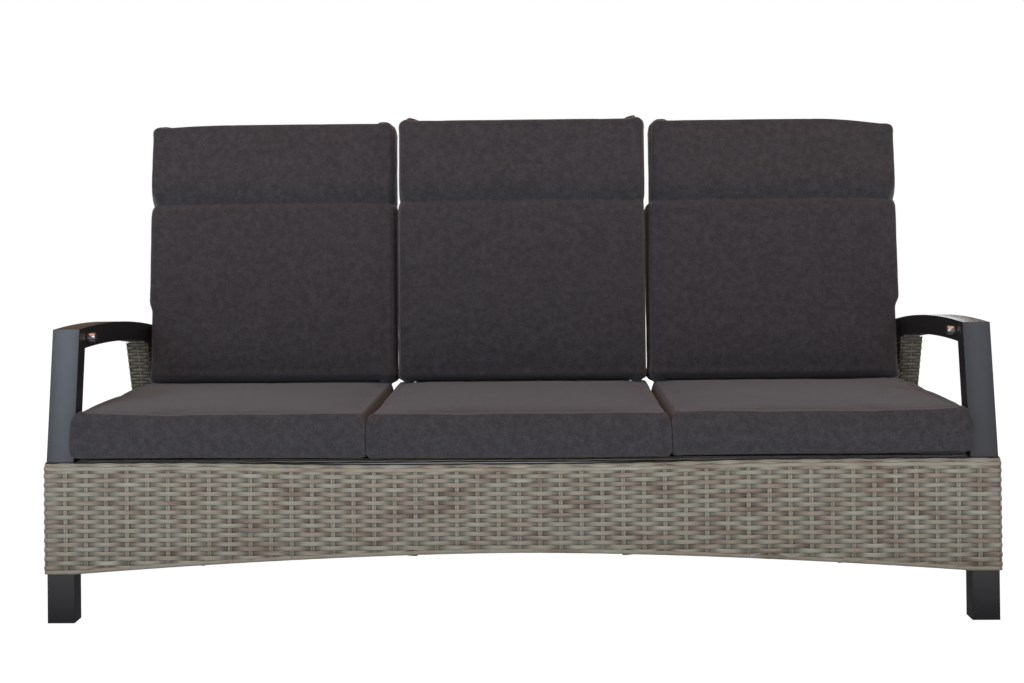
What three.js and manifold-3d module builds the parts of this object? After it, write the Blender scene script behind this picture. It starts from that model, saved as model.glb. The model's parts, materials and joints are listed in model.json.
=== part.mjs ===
// Three-seat rattan garden sofa with two reclining backs.
// X runs along the sofa, Y is the depth behind the front wicker face and Z is the height, in millimetres.
import * as THREE from "three";
import { mergeVertices } from "three/addons/utils/BufferGeometryUtils.js";
import Module from "manifold-3d";

const wasm = await Module();
wasm.setup();

// Whole sofa
const SOFA_WIDTH = 2053;
const BASE_DEPTH = 790;
const RIM_HEIGHT = 347;
const FIT_GAP = 0.3; // clearance between neighbours that touch
const CUT_OVERRUN = 20; // how far a cutting shape runs past what it cuts
const TUBE_WALL = 2; // aluminium profiles

// Woven wicker round the base
const WICKER_THICKNESS = 5.7;
const APRON_CLEARANCE = 102; // ground to the apron's corners
const FRONT_ARCH_RISE = 46;
const SIDE_ARCH_RISE = 30;
const ARCH_POWER = 2.5; // flatter in the middle than a parabola
const ARCH_STEPS = 16;

// Legs, posts and arms, all of one profile
const PROFILE_WIDTH = 58.5;
const POST_DEPTH = 44;
const POST_LEAN = THREE.MathUtils.degToRad(9.1);
const GLIDE_THICKNESS = 4;
const GLIDE_PLUG_LENGTH = 16;
const ARM_SECTION_HEIGHT = 46;
const ARM_CREST_RISE = 284; // above the wicker rim
const ARM_CREST_SETBACK = 133;
const ARM_CURVE_RADIUS = 3300;
const ARM_REAR_INSET = 154; // in front of the rear wicker face
const ARM_STEPS = 10;

// Rear arm supports: an aluminium tube in a woven sleeve
const REAR_POST_FOOT_INSET = 140; // sleeve's front face at the rim, from the rear wicker face
const REAR_POST_LEAN = THREE.MathUtils.degToRad(20.3);
const REAR_POST_DEPTH = 66;
const REAR_TUBE_WIDTH = 40;
const REAR_POST_FIT_STEPS = 10; // rounds of fitting its slanted top under the arm

// Seat frame
const RAIL_WIDTH = 25;
const RAIL_HEIGHT = 25;
const SIDE_RAIL_WIDTH = 40;
const HINGE_RAIL_INSET = 170; // its rear face, from the rear wicker face

// Backs
const HINGE_REACH = 32; // behind the rail that carries it
const HINGE_RISE = 25; // above the wicker rim
const FIXED_BACK_LEAN = THREE.MathUtils.degToRad(7.5);
const RECLINER_REST_LEAN = THREE.MathUtils.degToRad(11);
const BACK_SIDE_INSET = 31; // from the cushion's edge to the back's
const BACK_TOP = 702; // above the hinge, along the back
const BACK_THICKNESS = 31;
const BACK_CORNER_RADIUS = 12;
const BACK_EDGE_ROUND = 7;
const BACK_TUBE = 22;
const BACK_TUBE_WALL = 2;
const BACK_WRAP = 4.5; // weave over the frame's tubes
const WEAVE_FOOT = 25; // above the hinge, along the back
const BACK_BAR = 16;
const LUMBAR_BAR_HEIGHT = 330;

// Hinges
const SHAFT_RADIUS = 6;
const SHAFT_HEAD_RADIUS = 10;
const SHAFT_HEAD_LENGTH = 5;
const BRACKET_THICKNESS = 5;
const BRACKET_EYE_RADIUS = 14;
const BRACKET_FLANGE_WIDTH = 25;
const BRACKET_FLANGE_THICKNESS = 4;
const UPRIGHT_FOOT = 13; // below the hinge

// Gas springs
const LEVER_LENGTH = 70;
const LEVER_REST_ANGLE = THREE.MathUtils.degToRad(14); // behind straight down
const LEVER_WIDTH = 18;
const LEVER_THICKNESS = 6;
const LEVER_PIN_RADIUS = 5;
const LEVER_PIN_HEAD_RADIUS = 9;
const LEVER_PIN_HEAD_LENGTH = 3;
const EYE_PLAY = 2.2; // clearance of the opened pivot
const EYE_RADIUS = 11.5;
const EYE_THICKNESS = 8;
const EYE_SIDE_GAP = 0.5;
const ROD_RADIUS = 4;
const PISTON_RADIUS = 9.2;
const PISTON_LENGTH = 8;
const CYLINDER_RADIUS = 11;
const CYLINDER_WALL = 1.5;
const CYLINDER_START = 20; // from the base pin
const CYLINDER_LENGTH = 170;
const CYLINDER_END_CAP = 10;
const SPRING_REACH = 292; // base pin in front of the hinge
const SPRING_DROP = 157; // base pin below the hinge
const SPRING_RAIL_OFFSET = 50.5; // cross rail's middle, inward of the spring
const SPRING_PIN_RADIUS = 4;
const CLEVIS_EAR = 4;
const CLEVIS_REACH = 12; // round the base pin

// Release buttons
const BUTTON_SETBACK = 109;
const BUTTON_RADIUS = 9.7;
const BUTTON_PROTRUSION = 18;
const BUTTON_EDGE_ROUND = 1.5;
const BUTTON_SHANK_LENGTH = 14;
const BUTTON_TRAVEL = 6;
const COLLAR_FLANGE_RADIUS = 13.5;
const COLLAR_FLANGE_THICKNESS = 3;
const COLLAR_SLEEVE_RADIUS = 12;
const COLLAR_SLEEVE_LENGTH = 9;

// Release cables
const CABLE_RADIUS = 2.4;
const CABLE_SIDES = 8;
const CABLE_BEND = 28; // from a corner of its route to where the bend begins
const CABLE_BEND_STEPS = 6;
const CABLE_ENTRY_RUN = 60; // down the post from the button
const CABLE_DROP_RUN = 110; // in front of the clevis, where it leaves the cross rail
const CABLE_EASE_SHARE = 0.5; // of a run's length that its ends point along

// Cushions
const CENTRE_SEAT_WIDTH = 654;
const SEAT_CUSHION_OVERHANG = 5; // in front of the wicker face at the crest
const SEAT_CUSHION_INSET = 9; // its rear edge, in front of the hinge rail's rear face
const SEAT_CUSHION_EDGE = 96;
const SEAT_CROWN = 10;
const BACK_CUSHION_GAP = 8; // between neighbours
const BACK_ARM_GAP = 13.5; // between an outer back cushion and the arm
const BACK_CUSHION_THICKNESS = 110;
const BACK_CUSHION_CROWN = 9;
const BACK_CUSHION_LENGTH = 686;
const FIXED_CUSHION_FOOT = 66; // above the hinge, along the back
const RECLINER_CUSHION_FOOT = 61;
const BACK_CUSHION_TOP_SPREAD = 10; // its top is this much wider than its foot
const RECLINER_CUSHION_TOP_SHIFT = 12; // its top stands this far outwards of its foot
const HEAD_SEAM_HEIGHT = 461; // above the cushion's foot
const HEAD_SEAM_DEPTH = 13;
const HEAD_SEAM_HALF_WIDTH = 22;
const HEAD_SEAM_LINE_SHARES = [-1, -0.4, 0.4, 1]; // of that half width
const CUSHION_DRAW_IN = 7;
const CUSHION_EDGE_ROUND = 26;
const CUSHION_BACK_ROUND = 12;
const CUSHION_SIDE_BULGE = 4;
const CUSHION_CORNER_PULL = 9;
const CUSHION_ROUND_SHARES = [0, 0.293, 1]; // lines over the rounded edge
const CUSHION_INTERIOR_LINES = 7;

const ROUND_SIDES = 16;

// Sizes that follow from the ones above
const HALF_WIDTH = SOFA_WIDTH / 2;
const POST_FRONT = WICKER_THICKNESS + FIT_GAP;
const POST_REAR = POST_FRONT + POST_DEPTH;
const POST_CENTRE = HALF_WIDTH - WICKER_THICKNESS - FIT_GAP - PROFILE_WIDTH / 2;
const POST_INNER = POST_CENTRE - PROFILE_WIDTH / 2;
const ARM_CREST_HEIGHT = RIM_HEIGHT + ARM_CREST_RISE;
const ARM_REAR_SETBACK = BASE_DEPTH - ARM_REAR_INSET;
const REAR_POST_FOOT_SETBACK = BASE_DEPTH - REAR_POST_FOOT_INSET;
const HINGE_RAIL_SETBACK = BASE_DEPTH - HINGE_RAIL_INSET;
const HINGE_SETBACK = HINGE_RAIL_SETBACK + HINGE_REACH;
const HINGE_HEIGHT = RIM_HEIGHT + HINGE_RISE;
const SPRING_BASE_SETBACK = HINGE_SETBACK - SPRING_REACH;
const SPRING_BASE_HEIGHT = HINGE_HEIGHT - SPRING_DROP;
const SEAT_CUSHION_REAR = HINGE_RAIL_SETBACK - SEAT_CUSHION_INSET;
const BACK_CUSHION_WIDTH = (2 * (POST_INNER - BACK_ARM_GAP - BACK_CUSHION_GAP)) / 3;
const BACK_SPACING = BACK_CUSHION_WIDTH + BACK_CUSHION_GAP;
const BACK_WIDTH = BACK_CUSHION_WIDTH - 2 * BACK_SIDE_INSET;
const DECK_TOP = RIM_HEIGHT;
const RAIL_TOP = DECK_TOP - WICKER_THICKNESS - FIT_GAP;
const RAIL_BOTTOM = RAIL_TOP - RAIL_HEIGHT;
const LEG_FOOT = GLIDE_THICKNESS + FIT_GAP;
const REAR_LEG_FRONT = BASE_DEPTH - WICKER_THICKNESS - FIT_GAP - POST_DEPTH;
const FRONT_RAIL_REAR = POST_FRONT + RAIL_WIDTH;
const OUTER_SEAT_WIDTH = POST_INNER - CENTRE_SEAT_WIDTH / 2 - 2 * FIT_GAP;
const OUTER_SEAT_OFFSET = POST_INNER - FIT_GAP - OUTER_SEAT_WIDTH / 2;
const ARM_CENTRE_HEIGHT = ARM_CREST_HEIGHT - ARM_CURVE_RADIUS;
const UPRIGHT_CENTRE = BACK_WIDTH / 2 - BACK_WRAP - BACK_TUBE / 2;
const BRACKET_INNER = UPRIGHT_CENTRE + BACK_TUBE / 2 + EYE_SIDE_GAP;
const BRACKET_OUTER = BRACKET_INNER + BRACKET_THICKNESS;
const BOTTOM_BAR_HEIGHT = WEAVE_FOOT + BACK_WRAP + BACK_BAR / 2;
const LEVER_OUTER = UPRIGHT_CENTRE - BACK_TUBE / 2 - LEVER_THICKNESS;
const LEVER_INNER = LEVER_OUTER - LEVER_THICKNESS;
const SPRING_OFFSET = BACK_SPACING - (LEVER_INNER - EYE_SIDE_GAP - EYE_THICKNESS / 2);
const CROSS_RAIL_OFFSET = SPRING_OFFSET - SPRING_RAIL_OFFSET;
const CLEVIS_INNER = EYE_THICKNESS / 2 + EYE_SIDE_GAP;
const CLEVIS_FRONT = SPRING_BASE_SETBACK - 2 * CLEVIS_REACH;
const POST_MIDDLE = POST_FRONT + POST_DEPTH / 2;
const CABLE_LEVEL = RAIL_BOTTOM - FIT_GAP - CABLE_RADIUS; // along the rails' undersides

const X_AXIS = new THREE.Vector3(1, 0, 0);
const Y_AXIS = new THREE.Vector3(0, 1, 0);
const Z_AXIS = new THREE.Vector3(0, 0, 1);

// Finishes
function finish(color, roughness, metalness = 0) {
  return new THREE.MeshStandardMaterial({ color, roughness, metalness });
}

const wicker = finish(0x96928a, 0.75);
const anthracite = finish(0x4f555c, 0.5, 0.3);
const darkArm = finish(0x2b292a, 0.5, 0.3);
const bareTube = finish(0x8d9094, 0.45, 0.8);
const zincSteel = finish(0xb4b6b8, 0.35, 0.9);
const blackSteel = finish(0x232426, 0.45, 0.6);
const polishedSteel = finish(0xc8c4c2, 0.2, 1);
const blackPlastic = finish(0x1b1b1c, 0.55);
const charcoalFabric = finish(0x3f3c3f, 0.95);

// Solids and meshes
function solidOf(geometry) {
  const bare = geometry.clone();
  bare.deleteAttribute("normal");
  bare.deleteAttribute("uv");
  const merged = mergeVertices(bare);
  return new wasm.Manifold(
    new wasm.Mesh({
      numProp: 3,
      vertProperties: merged.attributes.position.array,
      triVerts: new Uint32Array(merged.index.array),
    }),
  );
}

function geometryOf(solid) {
  const { vertProperties, triVerts } = solid.getMesh();
  const indexed = new THREE.BufferGeometry();
  indexed.setAttribute("position", new THREE.BufferAttribute(vertProperties, 3));
  indexed.setIndex(new THREE.BufferAttribute(triVerts, 1));
  const faceted = indexed.toNonIndexed();
  faceted.computeVertexNormals();
  return faceted;
}

function joined(first, ...others) {
  return others.reduce((whole, other) => whole.add(solidOf(other)), solidOf(first));
}

function cut(solid, ...cutters) {
  return cutters.reduce((rest, cutter) => rest.subtract(solidOf(cutter)), solid);
}

function piece(name, geometry, material, x = 0) {
  const mesh = new THREE.Mesh(geometry.isBufferGeometry ? geometry : geometryOf(geometry), material);
  mesh.name = name;
  mesh.position.x = x;
  return mesh;
}

// Basic shapes
function block([x0, x1], [y0, y1], [z0, z1]) {
  const box = new THREE.BoxGeometry(Math.abs(x1 - x0), y1 - y0, z1 - z0);
  return box.translate((x0 + x1) / 2, (y0 + y1) / 2, (z0 + z1) / 2);
}

// A side view of [y, z] points, drawn out along X about the middle.
function sideProfile(points, width) {
  const shape = new THREE.Shape(points.map(([y, z]) => new THREE.Vector2(y, z)));
  const prism = new THREE.ExtrudeGeometry(shape, { depth: width, bevelEnabled: false });
  prism.translate(0, 0, -width / 2);
  return prism.applyMatrix4(new THREE.Matrix4().makeBasis(Y_AXIS, Z_AXIS, X_AXIS));
}

// A front view of [x, z] points, drawn out along Y from front to rear.
function frontProfile(points, front, rear) {
  const shape = new THREE.Shape(points.map(([x, z]) => new THREE.Vector2(x, z)));
  const prism = new THREE.ExtrudeGeometry(shape, { depth: rear - front, bevelEnabled: false });
  prism.translate(0, 0, -rear);
  return prism.applyMatrix4(new THREE.Matrix4().makeBasis(X_AXIS, Z_AXIS, Y_AXIS.clone().negate()));
}

function rodAlongX(radius, [x0, x1], [y, z] = [0, 0]) {
  const rod = new THREE.CylinderGeometry(radius, radius, Math.abs(x1 - x0), ROUND_SIDES);
  return rod.rotateZ(Math.PI / 2).translate((x0 + x1) / 2, y, z);
}

// Turned pieces from [radius, distance] points, with the axis along Y or X
function turnedAlongY(points) {
  return new THREE.LatheGeometry(points.map(([r, h]) => new THREE.Vector2(r, h)), ROUND_SIDES);
}

function turnedAlongX(points) {
  return turnedAlongY(points).rotateZ(-Math.PI / 2);
}

// Front posts and arms
// A point where the post's line, set back by the offset, meets the arm's curve at that depth below its top.
function postMeetsArm(offset, depth) {
  const bendY = POST_FRONT + offset;
  const bendZ = RIM_HEIGHT - offset * Math.tan(POST_LEAN / 2);
  const [dy, dz] = [bendY - ARM_CREST_SETBACK, bendZ - ARM_CENTRE_HEIGHT];
  const along = dy * Math.sin(POST_LEAN) + dz * Math.cos(POST_LEAN);
  const radius = ARM_CURVE_RADIUS - depth;
  const run = -along + Math.sqrt(along * along - (dy * dy + dz * dz - radius * radius));
  return [bendY + run * Math.sin(POST_LEAN), bendZ + run * Math.cos(POST_LEAN)];
}

const MITRE_OUTER = postMeetsArm(0, 0);
const MITRE_INNER = postMeetsArm(POST_DEPTH, ARM_SECTION_HEIGHT);
const MITRE_RUN = Math.hypot(MITRE_INNER[0] - MITRE_OUTER[0], MITRE_OUTER[1] - MITRE_INNER[1]);
const MITRE_SHIFT = (FIT_GAP * MITRE_RUN) / (MITRE_OUTER[1] - MITRE_INNER[1]);

function armHeight(setback, depth = 0) {
  const radius = ARM_CURVE_RADIUS - depth;
  return ARM_CENTRE_HEIGHT + Math.sqrt(radius ** 2 - (setback - ARM_CREST_SETBACK) ** 2);
}

function postBend(offset) {
  return [POST_FRONT + offset, RIM_HEIGHT - offset * Math.tan(POST_LEAN / 2)];
}

// The post's rear face at a height above its bend
function postRearAt(height) {
  const [bendY, bendZ] = postBend(POST_DEPTH);
  return bendY + (height - bendZ) * Math.tan(POST_LEAN);
}

function frontPost(side) {
  const outside = [
    [POST_FRONT, LEG_FOOT],
    [POST_REAR, LEG_FOOT],
    postBend(POST_DEPTH),
    MITRE_INNER,
    MITRE_OUTER,
    postBend(0),
  ];
  const near = POST_FRONT + TUBE_WALL;
  const far = POST_REAR - TUBE_WALL;
  const inside = [
    [near, LEG_FOOT - CUT_OVERRUN],
    [far, LEG_FOOT - CUT_OVERRUN],
    postBend(POST_DEPTH - TUBE_WALL),
    postMeetsArm(POST_DEPTH - TUBE_WALL, -CUT_OVERRUN),
    postMeetsArm(TUBE_WALL, -CUT_OVERRUN),
    postBend(TUBE_WALL),
  ];
  const innerFace = (-side * PROFILE_WIDTH) / 2;
  const cableHole = rodAlongX(
    CABLE_RADIUS + FIT_GAP,
    [innerFace - CUT_OVERRUN / 2, innerFace + CUT_OVERRUN / 2],
    [POST_MIDDLE, CABLE_LEVEL],
  );
  return cut(
    solidOf(sideProfile(outside, PROFILE_WIDTH)),
    sideProfile(inside, PROFILE_WIDTH - 2 * TUBE_WALL),
    cableHole,
  );
}

function armCurve(from, to, depth) {
  return Array.from({ length: ARM_STEPS + 1 }, (_, i) => {
    const setback = from + ((to - from) * i) / ARM_STEPS;
    return [setback, armHeight(setback, depth)];
  });
}

const BUTTON_HEIGHT = armHeight(BUTTON_SETBACK, ARM_SECTION_HEIGHT / 2);

function armrest(side) {
  const outside = [
    ...armCurve(MITRE_OUTER[0] + MITRE_SHIFT, ARM_REAR_SETBACK, 0),
    ...armCurve(ARM_REAR_SETBACK, MITRE_INNER[0] + MITRE_SHIFT, ARM_SECTION_HEIGHT),
  ];
  const insideRear = ARM_REAR_SETBACK - TUBE_WALL;
  const inside = [
    ...armCurve(MITRE_OUTER[0] - CUT_OVERRUN, insideRear, TUBE_WALL),
    ...armCurve(insideRear, MITRE_OUTER[0] - CUT_OVERRUN, ARM_SECTION_HEIGHT - TUBE_WALL),
  ];
  const innerFace = (-side * PROFILE_WIDTH) / 2;
  const buttonHole = rodAlongX(
    COLLAR_SLEEVE_RADIUS + FIT_GAP,
    [innerFace - CUT_OVERRUN / 2, innerFace + CUT_OVERRUN / 2],
    [BUTTON_SETBACK, BUTTON_HEIGHT],
  );
  return cut(
    solidOf(sideProfile(outside.reverse(), PROFILE_WIDTH)),
    sideProfile(inside.reverse(), PROFILE_WIDTH - 2 * TUBE_WALL),
    buttonHole,
  );
}

function hollowLeg(front, top) {
  const half = PROFILE_WIDTH / 2;
  const outer = block([-half, half], [front, front + POST_DEPTH], [LEG_FOOT, top]);
  const inner = block(
    [-half + TUBE_WALL, half - TUBE_WALL],
    [front + TUBE_WALL, front + POST_DEPTH - TUBE_WALL],
    [LEG_FOOT - CUT_OVERRUN, top + CUT_OVERRUN],
  );
  return cut(solidOf(outer), inner);
}

function footGlide(front) {
  const half = PROFILE_WIDTH / 2;
  const plug = half - TUBE_WALL - FIT_GAP;
  const inset = TUBE_WALL + FIT_GAP;
  return joined(
    block([-half, half], [front, front + POST_DEPTH], [0, GLIDE_THICKNESS]),
    block([-plug, plug], [front + inset, front + POST_DEPTH - inset], [0, GLIDE_THICKNESS + GLIDE_PLUG_LENGTH]),
  );
}

// Rear arm supports
// The leaning support, its faces moved in by the inset, up to a height or else to the arm's underside
function leaningSupport(width, inset, low, high) {
  const slope = Math.tan(REAR_POST_LEAN);
  const front = (z) => REAR_POST_FOOT_SETBACK + inset - (z - RIM_HEIGHT) * slope;
  const rear = (z) => REAR_POST_FOOT_SETBACK + REAR_POST_DEPTH - inset - (z - RIM_HEIGHT) * slope;
  const underArm = (edge) => {
    let z = RIM_HEIGHT;
    for (let i = 0; i < REAR_POST_FIT_STEPS; i += 1) z = armHeight(edge(z), ARM_SECTION_HEIGHT) - FIT_GAP;
    return z;
  };
  const top = (edge) => {
    const z = high ?? underArm(edge);
    return [edge(z), z];
  };
  return sideProfile([[front(low), low], [rear(low), low], top(rear), top(front)], width);
}

const TUBE_INSET = WICKER_THICKNESS + FIT_GAP;
const OVER_ARM = ARM_CREST_HEIGHT + CUT_OVERRUN;

function rearPostTube() {
  const hollow = TUBE_INSET + TUBE_WALL;
  return cut(
    solidOf(leaningSupport(REAR_TUBE_WIDTH, TUBE_INSET, RAIL_TOP + FIT_GAP)),
    leaningSupport(REAR_TUBE_WIDTH - 2 * TUBE_WALL, hollow, RAIL_TOP - CUT_OVERRUN, OVER_ARM),
  );
}

function rearPostSleeve() {
  return cut(
    solidOf(leaningSupport(PROFILE_WIDTH, 0, RIM_HEIGHT + FIT_GAP)),
    leaningSupport(REAR_TUBE_WIDTH + 2 * FIT_GAP, WICKER_THICKNESS, RAIL_TOP, OVER_ARM),
  );
}

// Wicker aprons, each with a flange on top that covers the rail behind it
function archLine(halfSpan, rise) {
  return Array.from({ length: ARCH_STEPS + 1 }, (_, i) => {
    const along = (2 * i) / ARCH_STEPS - 1;
    return [along * halfSpan, APRON_CLEARANCE + rise * (1 - Math.abs(along) ** ARCH_POWER)];
  });
}

function apronOutline(halfWidth, archHalfSpan, rise) {
  return [
    [-halfWidth, APRON_CLEARANCE],
    ...archLine(archHalfSpan, rise),
    [halfWidth, APRON_CLEARANCE],
    [halfWidth, RIM_HEIGHT],
    [-halfWidth, RIM_HEIGHT],
  ];
}

const FLANGE_UNDERSIDE = RAIL_TOP + FIT_GAP;

function longApron(front, flangeDepth) {
  const outline = apronOutline(HALF_WIDTH, POST_INNER, FRONT_ARCH_RISE);
  const skin = frontProfile(outline, front, front + WICKER_THICKNESS);
  const reach = POST_INNER - FIT_GAP;
  return joined(skin, block([-reach, reach], flangeDepth, [FLANGE_UNDERSIDE, RIM_HEIGHT]));
}

function frontApron() {
  return longApron(0, [0, FRONT_RAIL_REAR]);
}

function rearApron() {
  return longApron(BASE_DEPTH - WICKER_THICKNESS, [BASE_DEPTH - POST_FRONT - RAIL_WIDTH, BASE_DEPTH]);
}

function sideApron(side) {
  const front = WICKER_THICKNESS + FIT_GAP;
  const rear = BASE_DEPTH - front;
  const middle = (front + rear) / 2;
  const outline = apronOutline((rear - front) / 2, REAR_LEG_FRONT - middle, SIDE_ARCH_RISE);
  const skin = sideProfile(outline.map(([y, z]) => [y + middle, z]), WICKER_THICKNESS);
  const outside = HALF_WIDTH - POST_CENTRE;
  skin.translate(side * (outside - WICKER_THICKNESS / 2), 0, 0);
  const flange = block(
    side > 0 ? [-PROFILE_WIDTH / 2, outside] : [-outside, PROFILE_WIDTH / 2],
    [postRearAt(RIM_HEIGHT) + FIT_GAP, rear],
    [FLANGE_UNDERSIDE, RIM_HEIGHT],
  );
  const tubeWidth = REAR_TUBE_WIDTH + 2 * FIT_GAP;
  const tubeWindow = leaningSupport(tubeWidth, WICKER_THICKNESS, RAIL_BOTTOM, RIM_HEIGHT + CUT_OVERRUN);
  return cut(joined(skin, flange), tubeWindow);
}

function seatDeck() {
  const reach = POST_INNER - FIT_GAP;
  return block([-reach, reach], [FRONT_RAIL_REAR + FIT_GAP, HINGE_RAIL_SETBACK], [FLANGE_UNDERSIDE, DECK_TOP]);
}

// Seat frame rails
function hollowRail([x0, x1], [y0, y1], [z0, z1], alongX) {
  const run = (a, b, open) => (open ? [a - CUT_OVERRUN, b + CUT_OVERRUN] : [a + TUBE_WALL, b - TUBE_WALL]);
  const bore = block(run(x0, x1, alongX), run(y0, y1, !alongX), [z0 + TUBE_WALL, z1 - TUBE_WALL]);
  return cut(solidOf(block([x0, x1], [y0, y1], [z0, z1])), bore);
}

const RAIL_LEVELS = [RAIL_BOTTOM, RAIL_TOP];
const SIDE_RAIL_INNER = POST_CENTRE - SIDE_RAIL_WIDTH / 2;

function longRail(front, reach) {
  return hollowRail([-reach, reach], [front, front + RAIL_WIDTH], RAIL_LEVELS, true);
}

function sideRail() {
  const half = SIDE_RAIL_WIDTH / 2;
  return hollowRail([-half, half], [POST_REAR + FIT_GAP, REAR_LEG_FRONT - FIT_GAP], RAIL_LEVELS, false);
}

function crossRail() {
  const half = RAIL_WIDTH / 2;
  const rear = HINGE_RAIL_SETBACK - RAIL_WIDTH - FIT_GAP;
  return hollowRail([-half, half], [FRONT_RAIL_REAR + FIT_GAP, rear], RAIL_LEVELS, false);
}

// Backs, drawn upright about the hinge: X across, Y towards the rear, Z up along the back
function backTubes(grow) {
  const half = BACK_TUBE / 2 + grow;
  const top = BACK_TOP - BACK_WRAP + grow;
  const across = UPRIGHT_CENTRE + half;
  const uprights = [-1, 1].map((end) => {
    const x = end * UPRIGHT_CENTRE;
    return block([x - half, x + half], [-half, half], [-UPRIGHT_FOOT - grow, top]);
  });
  return joined(...uprights, block([-across, across], [-half, half], [top - BACK_TUBE - 2 * grow, top]));
}

function backBore() {
  const half = BACK_TUBE / 2 - BACK_TUBE_WALL;
  const top = BACK_TOP - BACK_WRAP - BACK_TUBE_WALL;
  const across = UPRIGHT_CENTRE + half;
  const uprights = [-1, 1].map((end) => {
    const x = end * UPRIGHT_CENTRE;
    return block([x - half, x + half], [-half, half], [-UPRIGHT_FOOT - CUT_OVERRUN, top]);
  });
  return joined(...uprights, block([-across, across], [-half, half], [top - 2 * half, top]));
}

function backBars(grow) {
  const half = BACK_BAR / 2 + grow;
  const reach = UPRIGHT_CENTRE - BACK_TUBE / 2 + BACK_TUBE_WALL / 2;
  return [BOTTOM_BAR_HEIGHT, LUMBAR_BAR_HEIGHT].map((height) =>
    block([-reach, reach], [-half, half], [height - half, height + half]),
  );
}

// The lever runs from the bottom bar past the hinge to its pin.
function lever(lean, inward, grow) {
  const angle = LEVER_REST_ANGLE + lean;
  const half = LEVER_WIDTH / 2 + grow;
  const [tipY, tipZ] = [LEVER_LENGTH * Math.sin(angle), -LEVER_LENGTH * Math.cos(angle)];
  const end = Array.from({ length: ROUND_SIDES / 2 + 1 }, (_, i) => {
    const turn = angle + Math.PI + (Math.PI * i) / (ROUND_SIDES / 2);
    return [tipY + half * Math.cos(turn), tipZ + half * Math.sin(turn)];
  });
  const outline = [[-half, BOTTOM_BAR_HEIGHT], [-half, 0], ...end, [half, 0], [half, BOTTOM_BAR_HEIGHT]];
  const plate = sideProfile(outline, LEVER_THICKNESS + 2 * grow);
  return plate.translate(inward * (LEVER_INNER + LEVER_THICKNESS / 2), 0, 0);
}

function leverPin(lean, inward) {
  const angle = LEVER_REST_ANGLE + lean;
  const tip = [LEVER_LENGTH * Math.sin(angle), -LEVER_LENGTH * Math.cos(angle)];
  const headStart = LEVER_INNER - EYE_THICKNESS - 2 * EYE_SIDE_GAP;
  return [
    rodAlongX(LEVER_PIN_RADIUS, [inward * (LEVER_INNER + LEVER_THICKNESS / 2), inward * headStart], tip),
    rodAlongX(LEVER_PIN_HEAD_RADIUS, [inward * headStart, inward * (headStart - LEVER_PIN_HEAD_LENGTH)], tip),
  ];
}

function backFrame(lean, inward) {
  let frame = backTubes(0).subtract(backBore());
  for (const bar of backBars(0)) frame = frame.add(solidOf(bar));
  if (inward) {
    frame = frame.add(solidOf(lever(lean, inward, 0)));
    for (const part of leverPin(lean, inward)) frame = frame.add(solidOf(part));
  }
  return cut(frame, rodAlongX(SHAFT_RADIUS + FIT_GAP, [-BACK_WIDTH, BACK_WIDTH]));
}

function roundedPanel(width, low, high, radius) {
  const half = width / 2;
  const shape = new THREE.Shape();
  shape.moveTo(-half, low);
  shape.lineTo(half, low);
  shape.lineTo(half, high - radius);
  shape.absarc(half - radius, high - radius, radius, 0, Math.PI / 2);
  shape.absarc(radius - half, high - radius, radius, Math.PI / 2, Math.PI);
  return shape;
}

function backWeave(lean, inward) {
  const round = BACK_EDGE_ROUND;
  const width = BACK_WIDTH - 2 * round;
  const shape = roundedPanel(width, WEAVE_FOOT + round, BACK_TOP - round, BACK_CORNER_RADIUS - round);
  const slab = new THREE.ExtrudeGeometry(shape, {
    depth: BACK_THICKNESS - 2 * round,
    bevelThickness: round,
    bevelSize: round,
    bevelSegments: 2,
    curveSegments: 2,
  });
  slab.translate(0, 0, round - BACK_THICKNESS / 2);
  slab.rotateX(Math.PI / 2);
  const rim = 2 * BACK_WRAP + BACK_TUBE;
  const recess = block(
    [rim - BACK_WIDTH / 2, BACK_WIDTH / 2 - rim],
    [WICKER_THICKNESS - BACK_THICKNESS / 2, BACK_THICKNESS],
    [WEAVE_FOOT + rim, BACK_TOP - rim],
  );
  let weave = cut(solidOf(slab), recess).subtract(backTubes(FIT_GAP));
  for (const bar of backBars(FIT_GAP)) weave = weave.subtract(solidOf(bar));
  if (inward) weave = weave.subtract(solidOf(lever(lean, inward, FIT_GAP)));
  return weave;
}

// Hinge brackets, on the hinge rail's rear face
function hingeBracket(outward, fixedLean) {
  const rail = HINGE_RAIL_SETBACK + FIT_GAP;
  const eye = Array.from({ length: ROUND_SIDES / 2 + 1 }, (_, i) => {
    const turn = -Math.PI / 4 + (Math.PI * i) / (ROUND_SIDES / 2);
    return [
      HINGE_SETBACK + BRACKET_EYE_RADIUS * Math.cos(turn),
      HINGE_HEIGHT + BRACKET_EYE_RADIUS * Math.sin(turn),
    ];
  });
  const plate = sideProfile(
    [[rail, RAIL_BOTTOM], [rail + BRACKET_FLANGE_THICKNESS, RAIL_BOTTOM], ...eye, [rail, RAIL_TOP]],
    BRACKET_THICKNESS,
  );
  plate.translate(outward * (BRACKET_INNER + BRACKET_THICKNESS / 2), 0, 0);
  const flange = block(
    [outward * BRACKET_INNER, outward * (BRACKET_INNER + BRACKET_FLANGE_WIDTH)],
    [rail, rail + BRACKET_FLANGE_THICKNESS],
    RAIL_LEVELS,
  );
  let bracket = joined(plate, flange);
  if (fixedLean) bracket = bracket.add(solidOf(backStop(outward, fixedLean)));
  return cut(
    bracket,
    rodAlongX(
      SHAFT_RADIUS + FIT_GAP,
      [outward * (BRACKET_INNER - CUT_OVERRUN), outward * (BRACKET_OUTER + CUT_OVERRUN)],
      [HINGE_SETBACK, HINGE_HEIGHT],
    ),
  );
}

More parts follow.
